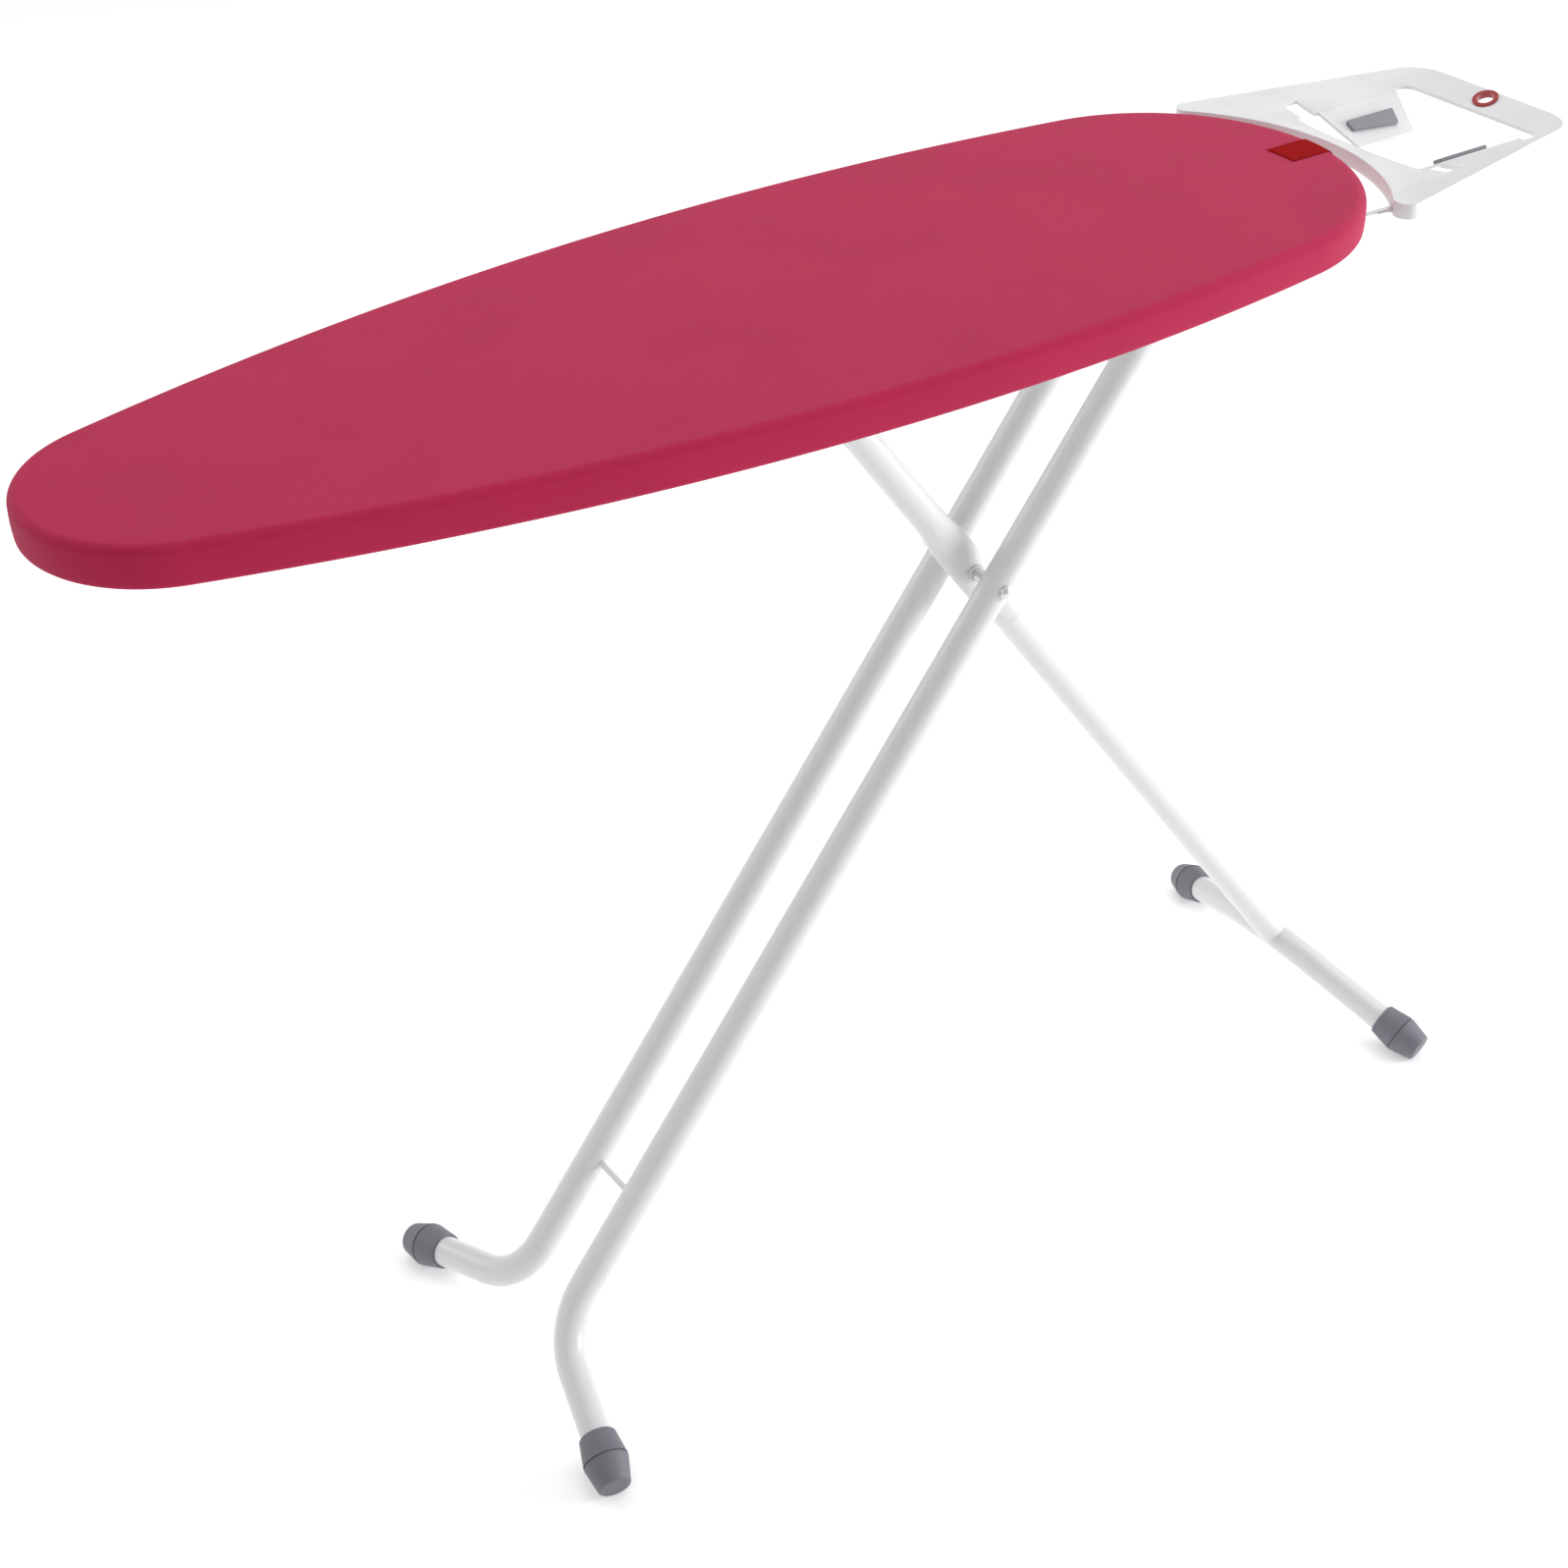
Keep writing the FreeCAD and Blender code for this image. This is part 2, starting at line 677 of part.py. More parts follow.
def make_lever_pin():
    pivot = lever_pivot()
    shaft = cylinder("lever_shaft", pivot + V(0, 0, -1), Z_AXIS, "bar_radius", 24)
    head = cylinder("lever_head", pivot + V(0, 0, -3.2), Z_AXIS, 7, 3)
    collar = sleeve("lever_collar", pivot + V(0, 0, 3.3), Z_AXIS, 6, "bar_radius", 16.6)
    return sub_part(fuse("lever_pin", shaft, head, collar), "lever_pin")


# ------------------------------------------------------------------ leg tubes

def ring_profile(sketch, y, z=0):
    circle(sketch, y, z, "tube_radius")
    circle(sketch, y, z, "tube_radius - sheet_gauge")


def outer_corner():
    """Leg-plane distance of the toe's corner and of the tube end, from the pivot."""
    turn = radians("outer_toe_angle")
    reach = foot_reach("outer_toe_angle", "outer_slope")
    crosswise = size("outer_foot_y - leg_spread")
    corner = reach - crosswise * math.tan(turn)
    half_cap = size("cap_length / 2") - 6
    end = V(-reach - half_cap * math.sin(turn), size("outer_foot_y") + half_cap * math.cos(turn), 0)
    return corner, end


def make_leg_tube(name, side):
    """Outer leg tube: straight, then bent outwards at the toe."""
    body = new_body(name)
    corner, end = outer_corner()
    y = side * size("leg_spread")
    bend = size("toe_bend")
    turn = math.pi / 2 - radians("outer_toe_angle")
    trim = bend * math.tan(turn / 2)
    start_x = Linkage.link * math.cos(radians("inner_slope - outer_slope")) - 22
    a = V(start_x, y, 0)
    b = V(-corner + trim, y, 0)
    c = V(-corner - trim * math.cos(turn), y + side * trim * math.sin(turn), 0)
    d = V(end.x, side * end.y, 0)
    mid_turn = turn / 2
    middle = V(b.x - bend * math.sin(mid_turn), y + side * bend * (1 - math.cos(mid_turn)), 0)
    spine = new_sketch(body, "XY_Plane")
    spine.addGeometry(Part.LineSegment(a, b), False)
    spine.addGeometry(Part.Arc(b, middle, c), False)
    spine.addGeometry(Part.LineSegment(c, d), False)
    profile = new_sketch(body, "YZ_Plane", start_x)
    ring_profile(profile, y)
    feature(body, "AdditivePipe", profile, Spine=(spine, ["Edge1", "Edge2", "Edge3"]))
    body.Placement = outer_frame()
    drill = cylinder(name + "_drill", Linkage.pivot + V(0, -90, 0), Y_AXIS, "bar_radius", 180)
    return sub_part(cut(name, body, drill), name)


def make_hinge_lug(name, side):
    """Plate in the tube's open end that carries the axle, above the tube's own line."""
    body = new_body(name)
    sketch = new_sketch(body, "XZ_Plane", -side * size("leg_spread"))
    away = Linkage.link * math.cos(radians("inner_slope - outer_slope"))
    above = Linkage.link * math.sin(radians("inner_slope - outer_slope"))
    polygon(sketch, [
        (away - 66, -12), (away - 66, 12), (away - 21, 12), (away - 8, above + 8),
        (away + 4, above + 10), (away + 10, above + 4), (away + 10, above - 5), (away - 18, -12)])
    feature(body, "Pad", sketch, Length=8, SideType="Symmetric")
    hole = new_sketch(body, "XZ_Plane", -side * size("leg_spread"))
    circle(hole, away, above, "axle_radius + run_gap")
    feature(body, "Pocket", hole, Length=12, SideType="Symmetric")
    return sub_part(body, name, outer_frame())


def make_cross_rod():
    """Thin rod between the two outer leg tubes, above the toes."""
    down = -623
    length = 2 * (size("leg_spread") - size("tube_radius") + 1.2)
    rod = cylinder("cross", V(down, -length / 2, 0), Y_AXIS, 3, length)
    trims = []
    for side in (-1, 1):
        start = V(down - 30, side * size("leg_spread"), 0)
        trims.append(cylinder("cross_tube", start, X_AXIS, "tube_radius", 60))
    return sub_part(cut("cross_rod", rod, *trims), "cross_rod", outer_frame())


def cap_profile(sketch):
    """Half section of a foot cap about its axis: x runs from the mouth to the end face."""
    bore = size("tube_radius") + 0.02
    length, middle = size("cap_length"), size("cap_length / 2")
    wide, mouth, round_ = size("cap_radius"), size("cap_mouth"), size("cap_round")
    brow = V(middle + 1, wide, 0)
    centre = V(length - round_, size("cap_end") - round_, 0)
    away = brow - centre
    lean = math.atan2(away.y, away.x) - math.acos(round_ / away.Length)
    touch = centre + V(math.cos(lean), math.sin(lean), 0) * round_
    belly = centre + V(math.cos(lean / 2), math.sin(lean / 2), 0) * round_
    face = V(length, centre.y, 0)
    run = [
        face, V(length, 0, 0), V(length - 6, 0, 0), V(length - 6, bore, 0), V(0, bore, 0),
        V(0, mouth - 1, 0), V(1, mouth, 0), V(middle - 1, wide, 0),
        V(middle - 0.9, wide - 1.2, 0), V(middle + 0.9, wide - 1.2, 0), brow, touch]
    for start, end in zip(run, run[1:]):
        sketch.addGeometry(Part.LineSegment(start, end), False)
    sketch.addGeometry(Part.Arc(touch, belly, face), False)


def make_foot_cap(name, place):
    body = new_body(name)
    sketch = new_sketch(body, "XY_Plane")
    cap_profile(sketch)
    axis = [f for f in body.Origin.OriginFeatures if f.Role == "X_Axis"][0]
    feature(body, "Revolution", sketch, ReferenceAxis=(axis, [""]), Angle=360)
    return sub_part(body, name, place)


def cap_place(frame, toe, reach, foot_y, side):
    """Placement of a cap: its middle at the foot point, its axis along the toe."""
    turn = radians(toe)
    direction = V(-math.sin(turn), side * math.cos(turn), 0)
    middle = V(-reach, side * size(foot_y), 0)
    local = Place(middle - direction * size("cap_length / 2"), Rot(X_AXIS, direction))
    return frame.multiply(local)


# --------------------------------------------------------------------- pivot

def make_pivot_bolt():
    """Bolt through both outer tubes and the t leg, domed head on the near side."""
    reach = size("leg_spread + tube_radius")
    start = Linkage.pivot + V(0, -reach - 1.5, 0)
    shaft = cylinder("bolt_shaft", start, Y_AXIS, "bar_radius", 2 * reach + 14)
    head = cylinder("bolt_head", start + V(0, -3, 0), Y_AXIS, 5.4, 3)
    dome = primitive("Sphere", "bolt_dome", Place(start + V(0, 3, 0), Rot()), Radius=6.3)
    crown = doc.addObject("Part::Common", "bolt_crown")
    crown.Base = head
    crown.Tool = dome
    return sub_part(fuse("bolt", shaft, crown), "pivot_bolt")


def make_pivot_washers():
    reach = size("leg_spread + tube_radius")
    rings = []
    for start in (-reach - 1.5, reach):
        rings.append(sleeve("washer", Linkage.pivot + V(0, start, 0), Y_AXIS, 6.2, "bar_radius", 1.5))
    return sub_part(group("washers", rings), "pivot_washers")


def make_pivot_nut():
    """Hexagon nut on the far side."""
    reach = size("leg_spread + tube_radius") + 1.5
    body = new_body("nut")
    sketch = new_sketch(body, "XY_Plane")
    across = 6.8
    corners = [(across * math.cos(math.radians(60 * n)), across * math.sin(math.radians(60 * n)))
               for n in range(6)]
    polygon(sketch, corners)
    circle(sketch, 0, 0, "bar_radius")
    feature(body, "Pad", sketch, Length=6.5)
    place = Place(Linkage.pivot + V(0, reach, 0), Rot(Z_AXIS, Y_AXIS))
    return sub_part(body, "pivot_nut", place)


BUSH_HALF = 11
BUSH_RADIUS = 5.8


def make_pivot_bush():
    """Flanged bush through the flattened part of the t leg."""
    start = Linkage.pivot + V(0, -BUSH_HALF, 0)
    tube = cylinder("bush_tube", start, Y_AXIS, BUSH_RADIUS, 2 * BUSH_HALF)
    flanges = [
        cylinder("bush_flange", Linkage.pivot + V(0, y, 0), Y_AXIS, BUSH_RADIUS + 2, 2.3)
        for y in (-BUSH_HALF, BUSH_HALF - 2.3)
    ]
    bore = cylinder("bush_bore", start, Y_AXIS, "bar_radius + run_gap", 2 * BUSH_HALF)
    return sub_part(cut("bush", fuse("bush", tube, *flanges), bore), "pivot_bush")


def make_pivot_spacers():
    """Sleeves on the bolt that centre the t leg between the outer tubes."""
    inner = BUSH_HALF + 0.2
    length = size("leg_spread - tube_radius") - inner
    tubes = []
    for y in (inner, -inner - length):
        start = Linkage.pivot + V(0, y, 0)
        tubes.append(sleeve("pivot_spacer", start, Y_AXIS, 5.6, "bar_radius", length))
    return sub_part(group("spacers", tubes), "pivot_spacers")


# ---------------------------------------------------------------------- t leg

def crown():
    """Leg-plane distance from the pivot to the t bar's crown, its bend corner and its toe end."""
    turn = radians("inner_toe_angle")
    reach = foot_reach("inner_toe_angle", "inner_slope")
    corner = reach - size("inner_foot_y") * math.tan(turn)
    top = corner + size("bar_bend") * (1 / math.cos(turn) - 1)
    half_cap = size("cap_length / 2") - 6
    end = V(-reach - half_cap * math.sin(turn), size("inner_foot_y") + half_cap * math.cos(turn), 0)
    return top, corner, end


def bar_sweep(name, radius):
    """Solid rod along the t bar's line."""
    top, corner, end = crown()
    turn = radians("inner_toe_angle")
    trim = size("bar_bend") * math.tan(turn)
    tangent = V(-corner - trim * math.sin(turn), trim * math.cos(turn), 0)
    mirror = V(tangent.x, -tangent.y, 0)
    edges = [
        Part.LineSegment(V(end.x, -end.y, 0), mirror).toShape(),
        Part.Arc(mirror, V(-top, 0, 0), tangent).toShape(),
        Part.LineSegment(tangent, end).toShape(),
    ]
    path = doc.addObject("Part::Feature", name + "_path")
    path.Shape = Part.Wire(edges)
    ring = doc.addObject("Part::Circle", name + "_ring")
    bind(ring, "Radius", radius)
    ring.Placement = Place(V(end.x, -end.y, 0), Rot(Z_AXIS, mirror - V(end.x, -end.y, 0)))
    sweep = doc.addObject("Part::Sweep", name + "_sweep")
    sweep.Sections = [ring]
    sweep.Spine = (path, ["Edge1", "Edge2", "Edge3"])
    sweep.Solid = True
    return sweep


def make_t_bar():
    outside = bar_sweep("bar_outer", "tube_radius")
    inside = bar_sweep("bar_inner", "tube_radius - sheet_gauge")
    return sub_part(cut("t_bar", outside, inside), "t_bar", inner_frame())


def leg_loft(name, shrink):
    """Round tube, flattened round the pivot: stations along the leg's own line."""
    top, _, _ = crown()
    head = Linkage.link + 16
    wide, thin, flat, ease = 17.5, 8.5, 38, 34
    stations = [(-top, None), (-flat - ease, None), (-flat, 1), (flat, 1), (flat + ease, None),
                (head, None)]
    sections = []
    for x, flattened in stations:
        if flattened:
            ring = doc.addObject("Part::Ellipse", name + "_oval")
            ring.MajorRadius = wide - shrink
            ring.MinorRadius = thin - shrink
        else:
            ring = doc.addObject("Part::Circle", name + "_round")
            bind(ring, "Radius", "tube_radius - %s" % shrink if shrink else "tube_radius")
        ring.Placement = Place(V(x, 0, 0), Rot(Y_AXIS, 90))
        sections.append(ring)
    loft = doc.addObject("Part::Loft", name + "_loft")
    loft.Sections = sections
    loft.Solid = True
    loft.Ruled = True
    return loft


def make_t_leg():
    """T leg tube: flattened at the pivot, coped over the t bar, drilled for its two bushes."""
    outside = leg_loft("leg_outer", 0)
    inside = leg_loft("leg_inner", size("sheet_gauge"))
    cope = bar_sweep("cope", "tube_radius")
    pivot_hole = cylinder("leg_pivot_hole", V(0, -40, 0), Y_AXIS, BUSH_RADIUS, 80)
    top_hole = cylinder("leg_top_hole", V(Linkage.link, -40, 0), Y_AXIS, 6, 80)
    tube = cut("t_leg", outside, inside, cope, pivot_hole, top_hole)
    return sub_part(tube, "t_leg_tube", inner_frame())


def make_top_bush():
    """Flanged bush at the top of the t leg, running on the slide bar."""
    half = 16.5
    start = Linkage.slide + V(0, -half, 0)
    tube = cylinder("top_bush_tube", start, Y_AXIS, 6, 2 * half)
    flanges = [
        cylinder("top_bush_flange", Linkage.slide + V(0, y, 0), Y_AXIS, 9, 2)
        for y in (-half, half - 2)
    ]
    bore = cylinder("top_bush_bore", start, Y_AXIS, "bar_radius + run_gap", 2 * half)
    return sub_part(cut("top_bush", fuse("top_bush", tube, *flanges), bore), "top_bush")


# ------------------------------------------------------------------ iron rest

BOSS_RADIUS = 11.2
BOSS_ANGLE = math.radians(41.7)


def boss_centre(side):
    """Axis of a corner boss, which touches the concave edge."""
    reach = size("rest_arc") + BOSS_RADIUS
    return V(size("butt_x") + reach * math.cos(BOSS_ANGLE), side * reach * math.sin(BOSS_ANGLE), 0)


def rest_corners(grow):
    """Outline of the iron rest's +y half: end of the concave edge, round of the boss, side, far end."""
    centre = boss_centre(1)
    radius = BOSS_RADIUS + grow
    leave = math.pi + BOSS_ANGLE
    arrive = math.atan2(1, size("rest_slope"))
    points = []
    for angle in (leave, (leave + arrive) / 2, arrive):
        points.append(centre + V(math.cos(angle), math.sin(angle), 0) * radius)
    end_x = size("rest_end_x") + grow
    end_y = points[2].y - size("rest_slope") * (end_x - points[2].x)
    return points + [V(end_x, end_y, 0)]


def rounded_side(near, far, radius):
    """Side line and corner arc from the near corner to the outer end line."""
    along = (far - near).normalize()
    turn = math.pi / 2 + math.asin(along.y)
    trim = radius * math.tan(turn / 2)
    start = far - along * trim
    end = V(far.x, far.y - trim, 0)
    centre = V(far.x - radius, end.y, 0)
    middle = centre + (far - centre).normalize() * radius
    return start, middle, end


def rest_outline(sketch, grow=0):
    """Outer outline of the iron rest, concave along the board."""
    edge, boss, near, far = rest_corners(grow)
    start, middle, end = rounded_side(near, far, 34 + grow)
    flip = lambda p: V(p.x, -p.y, 0)
    crown_point = V(size("butt_x") + size("rest_arc") - grow, 0, 0)
    sketch.addGeometry(Part.Arc(flip(edge), crown_point, edge), False)
    sketch.addGeometry(Part.Arc(edge, boss, near), False)
    sketch.addGeometry(Part.LineSegment(near, start), False)
    sketch.addGeometry(Part.Arc(start, middle, end), False)
    sketch.addGeometry(Part.LineSegment(end, flip(end)), False)
    sketch.addGeometry(Part.Arc(flip(end), flip(middle), flip(start)), False)
    sketch.addGeometry(Part.LineSegment(flip(start), flip(near)), False)
    sketch.addGeometry(Part.Arc(flip(near), flip(boss), flip(edge)), False)


def window_outline(sketch, grow=0):
    """Window of the iron rest, with the same run of edges as its outline."""
    corner = V(size("window_x0") - grow, size("window_half") + grow, 0)
    far = V(size("window_x1") + grow, size("window_half") + 6 + grow, 0)
    radius, small = 12, 6
    edge = V(corner.x, corner.y - small, 0)
    bend = V(corner.x + small * 0.293, corner.y - small * 0.293, 0)
    near = V(corner.x + small, corner.y + 0.2, 0)
    start = V(far.x - radius, far.y - 0.4, 0)
    end = V(far.x, far.y - radius, 0)
    middle = V(far.x - radius * 0.293, far.y - radius * 0.293, 0)
    flip = lambda p: V(p.x, -p.y, 0)
    sketch.addGeometry(Part.Arc(flip(edge), V(edge.x - 4, 0, 0), edge), False)
    sketch.addGeometry(Part.Arc(edge, bend, near), False)
    sketch.addGeometry(Part.LineSegment(near, start), False)
    sketch.addGeometry(Part.Arc(start, middle, end), False)
    sketch.addGeometry(Part.LineSegment(end, flip(end)), False)
    sketch.addGeometry(Part.Arc(flip(end), flip(middle), flip(start)), False)
    sketch.addGeometry(Part.LineSegment(flip(start), flip(near)), False)
    sketch.addGeometry(Part.Arc(flip(near), flip(bend), flip(edge)), False)


def flat_sketch(name, draw, height, grow=0):
    sketch = doc.addObject("Sketcher::SketchObject", name)
    sketch.Placement = Place(V(0, 0, height), Rot())
    draw(sketch, grow)
    return sketch


def funnel(name, top, bottom, grow):
    """Solid between the rest's outline at the top height and its window at the bottom one."""
    loft = doc.addObject("Part::Loft", name)
    loft.Sections = [
        flat_sketch(name + "_wide", rest_outline, top),
        flat_sketch(name + "_narrow", window_outline, bottom, grow),
    ]
    loft.Solid = True
    loft.Ruled = True
    return loft


def slab(name, draw, bottom, height, grow=0):
    result = doc.addObject("Part::Extrusion", name)
    result.Base = flat_sketch(name + "_line", draw, bottom, grow)
    result.Dir = Z_AXIS
    result.LengthFwd = height
    result.Solid = True
    return result


TONGUE_START = 538.5
TONGUE_END = 635.4
TONGUE_REACH = 40
TONGUE_DROP = 23
TONGUE_LAP = 11


def tongue(side):
    """Plate that slopes from a side of the window towards the middle, its root lapping the frame."""
    gauge = size("rest_plate")
    edge = V(0, side * size("window_half"), size("rest_top - rest_dish"))
    low = edge + V(0, -side * TONGUE_REACH, -TONGUE_DROP)
    corners = [V(TONGUE_START, edge.y, edge.z), V(TONGUE_END, edge.y, edge.z),
               V(TONGUE_END - 14, low.y, low.z), V(TONGUE_START + 14, low.y, low.z)]
    slope = Part.Face(Part.makePolygon(corners + [corners[0]])).extrude(V(0, 0, -gauge))
    outer = edge.y + side * TONGUE_LAP
    corner = V(TONGUE_START, min(edge.y, outer), edge.z - gauge)
    root = Part.makeBox(TONGUE_END - TONGUE_START, TONGUE_LAP, gauge, corner)
    result = doc.addObject("Part::Feature", "tongue")
    result.Shape = slope.fuse(root).removeSplitter()
    return result


def make_rest_frame():
    """Dished plate with a wall along the board, two corner bosses and two cradle tongues."""
    top, dish, plate = size("rest_top"), size("rest_dish"), size("rest_plate")
    rim = slab("rest_rim", rest_outline, top - plate, plate)
    bowl = funnel("rest_bowl", top - plate, top - plate - dish, plate)
    hollow = funnel("rest_hollow", top + 0.01, top - dish + 0.01, 0)
    window = slab("rest_window", window_outline, top - 40, 60)
    sheet = cut("rest_sheet", fuse("rest_bowl", rim, bowl), hollow, window)
    skirt = size("rest_skirt")
    block = slab("rest_block", rest_outline, top - skirt, skirt - 0.8)
    behind = cylinder("rest_behind", V(size("butt_x"), 0, top - 60), Z_AXIS,
                      "rest_arc + 3.5", 100)
    wall = doc.addObject("Part::Common", "rest_wall_common")
    wall.Base = block
    wall.Tool = behind
    bosses = []
    for side in (-1, 1):
        centre = boss_centre(side) + V(0, 0, top - skirt)
        bosses.append(cylinder("rest_boss", centre, Z_AXIS, BOSS_RADIUS, skirt - 2.5))
    body = fuse("rest_frame", sheet, wall, tongue(-1), tongue(1), *bosses)
    rods = [
        cylinder("rest_rod_hole", V(380, side * size("rod_y"), size("rod_z")), X_AXIS,
                 "rod_radius", 62)
        for side in (-1, 1)
    ]
    hole = cylinder("rest_ring_hole", V(0, 0, -20), Z_AXIS, "ring_hole + 0.9", 40)
    hole.Placement = ring_place().multiply(hole.Placement)
    gaps = [rest_gap(side) for side in (-1, 1)]
    return sub_part(cut("rest_frame", body, hole, *rods, *gaps), "iron_rest_frame")


def rest_gap(side):
    """Cut-out beside the root of a tongue."""
    y0, y1 = side * size("window_half") - side * 4, side * 101
    return box("rest_gap_block", V(517, min(y0, y1), 900), V(535, max(y0, y1), 990))


def make_rest_pad(name, side):
    """Wedge-shaped silicone pad that lies on a tongue."""
    angle = math.degrees(math.atan2(TONGUE_DROP, TONGUE_REACH))
    gauge = 3.5
    y_high, y_wide, y_narrow = 18, 35, 29
    corners = [V(557, -y_high, 0), V(614, -y_high, 0), V(609, -y_wide, 0), V(557, -y_narrow, 0)]
    body = new_body(name)
    sketch = new_sketch(body, "XY_Plane")
    if side > 0:
        points = [(p.x, p.y) for p in corners]
    else:
        points = [(p.x, -p.y) for p in corners]
    polygon(sketch, points)
    feature(body, "Pad", sketch, Length=gauge)
    root = V(0, side * size("window_half"), size("rest_top - rest_dish"))
    return sub_part(body, name, Place(root, Rot(X_AXIS, side * angle)))


def ring_place():
    """Where the eyelet sits: square to the sloping outer bar."""
    fall = size("rest_dish") / size("rest_end_x - window_x1")
    level = size("rest_top") - fall * size("rest_end_x - ring_x")
    tilt = math.degrees(math.atan(fall))
    return Place(V(size("ring_x"), 0, level), Rot(Y_AXIS, -tilt))


def make_ring():
    """Eyelet that lines the hanging hole, flanged on top of the plate."""
    flange = sleeve("ring_flange", V(0, 0, 0), Z_AXIS, "ring_radius", "ring_hole", 1.6)
    barrel = sleeve("ring_barrel", V(0, 0, -4), Z_AXIS, "ring_hole + 0.9", "ring_hole", 4.5)
    return sub_part(fuse("ring", flange, barrel), "hanging_ring", ring_place())


ROD_START = 308
ROD_LENGTH = 134


def make_rest_rod(name, side):
    start = V(ROD_START, side * size("rod_y"), size("rod_z"))
    return sub_part(cylinder(name + "_rod", start, X_AXIS, "rod_radius", ROD_LENGTH), name)


def make_rod_guide(name, side):
    """Guide tube of an iron rest rod, from the rear cross member to the rim."""
    start = member_x("crossmember_rear") + size("member_width / 2")
    wall_x = size("butt_x") + math.sqrt((size("butt_radius") - 2.6) ** 2 - (size("rod_y") + 5) ** 2)
    place = V(start, side * size("rod_y"), size("rod_z"))
    tube = sleeve(name, place, X_AXIS, 5, "rod_radius + run_gap", wall_x - start)
    return sub_part(tube, name)


# ------------------------------------------------------------------- assembly

def build():
    make_cover()
    make_hem_elastic()
    make_pad()
    make_tag()
    make_mesh()
    make_rim()
    for name, _ in MEMBERS:
        make_crossmember(name)
    make_hinge_bracket("hinge_bracket_left", 1)
    make_hinge_bracket("hinge_bracket_right", -1)
    make_axle()
    make_axle_caps()
    make_slide_rail("slide_rail_left", 1)
    make_slide_rail("slide_rail_right", -1)
    make_rail_spacers()
    make_rail_stops()
    make_slide_bar()
    make_slider("slider_left", 1)
    make_slider("slider_right", -1)
    make_lock_rod()
    make_rod_yoke()
    make_lock_housing()
    make_clutch_plates()
    make_clutch_spring()
    make_height_lever()
    make_lever_grip()
    make_lever_pin()
    make_leg_tube("leg_tube_left", 1)
    make_leg_tube("leg_tube_right", -1)
    make_hinge_lug("hinge_lug_left", 1)
    make_hinge_lug("hinge_lug_right", -1)
    make_cross_rod()
    outer_reach = foot_reach("outer_toe_angle", "outer_slope")
    inner_reach = foot_reach("inner_toe_angle", "inner_slope")
    for word, side in (("left", 1), ("right", -1)):
        outer = cap_place(outer_frame(), "outer_toe_angle", outer_reach, "outer_foot_y", side)
        make_foot_cap("leg_cap_" + word, outer)
        inner = cap_place(inner_frame(), "inner_toe_angle", inner_reach, "inner_foot_y", side)
        make_foot_cap("t_bar_cap_" + word, inner)
    make_pivot_bolt()
    make_pivot_washers()
    make_pivot_nut()
    make_pivot_bush()
    make_pivot_spacers()
    make_t_bar()
    make_t_leg()
    make_top_bush()
    make_rest_frame()
    make_rest_pad("rest_pad_left", 1)
    make_rest_pad("rest_pad_right", -1)
    make_ring()
    for word, side in (("left", 1), ("right", -1)):
        make_rest_rod("rest_rod_" + word, side)
        make_rod_guide("rod_guide_" + word, side)


def check_and_write():
    doc.recompute()
    failed = [thing.Label for thing in doc.Objects
              if "Invalid" in thing.State or "Error" in thing.State]
    if failed:
        raise RuntimeError("failed: " + ", ".join(failed))
    os.makedirs("parts", exist_ok=True)
    bad = [thing.Label for thing in parts if thing.Shape.isNull() or not thing.Shape.isValid()]
    if bad:
        raise RuntimeError("bad shapes: " + ", ".join(bad))
    for thing in parts:
        thing.Shape.exportStep("parts/%s.step" % thing.Label)
    whole = Part.makeCompound([thing.Shape for thing in parts]).optimalBoundingBox(False)
    print("%d sub-parts, x %.1f to %.1f, y %.1f to %.1f, z %.2f to %.1f" % (
        len(parts), whole.XMin, whole.XMax, whole.YMin, whole.YMax, whole.ZMin, whole.ZMax))


build()
check_and_write()
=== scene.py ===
import json
import math

import bpy
import bmesh
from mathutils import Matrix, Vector, noise


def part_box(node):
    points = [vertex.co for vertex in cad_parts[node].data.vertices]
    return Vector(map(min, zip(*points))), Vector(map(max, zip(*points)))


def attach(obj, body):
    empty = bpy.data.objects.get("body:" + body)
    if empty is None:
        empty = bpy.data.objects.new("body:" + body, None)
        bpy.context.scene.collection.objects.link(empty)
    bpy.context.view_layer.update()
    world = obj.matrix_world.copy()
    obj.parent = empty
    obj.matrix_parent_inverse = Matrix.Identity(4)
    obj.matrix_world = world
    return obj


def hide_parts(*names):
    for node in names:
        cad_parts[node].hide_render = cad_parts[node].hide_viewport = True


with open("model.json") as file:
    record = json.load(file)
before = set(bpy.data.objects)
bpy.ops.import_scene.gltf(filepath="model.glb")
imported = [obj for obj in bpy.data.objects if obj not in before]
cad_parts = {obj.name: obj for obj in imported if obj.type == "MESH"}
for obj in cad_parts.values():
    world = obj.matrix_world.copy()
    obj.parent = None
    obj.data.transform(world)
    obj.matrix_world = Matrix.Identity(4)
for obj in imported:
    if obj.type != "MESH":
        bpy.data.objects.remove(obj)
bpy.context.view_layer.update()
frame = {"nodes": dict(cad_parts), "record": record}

# Looks of a folding ironing board. Metres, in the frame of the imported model: +Z up, +X towards
# the iron rest, floor at z = 0. The fabric is built here; the hardware is the CAD's own.

# Outline of the board: four tangent arcs between the ends of the cover's box.
COVER_LOW, COVER_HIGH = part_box("cover")
NOSE_RADIUS = 0.1025
BUTT_RADIUS = 0.169
SIDE_RADIUS = 2.085
NOSE_X = COVER_LOW.x + NOSE_RADIUS
BUTT_X = COVER_HIGH.x - BUTT_RADIUS
TOP = COVER_HIGH.z
HEM_HANG = 0.0012       # the cloth hangs a little past its drawn depth
BOTTOM = COVER_LOW.z - HEM_HANG

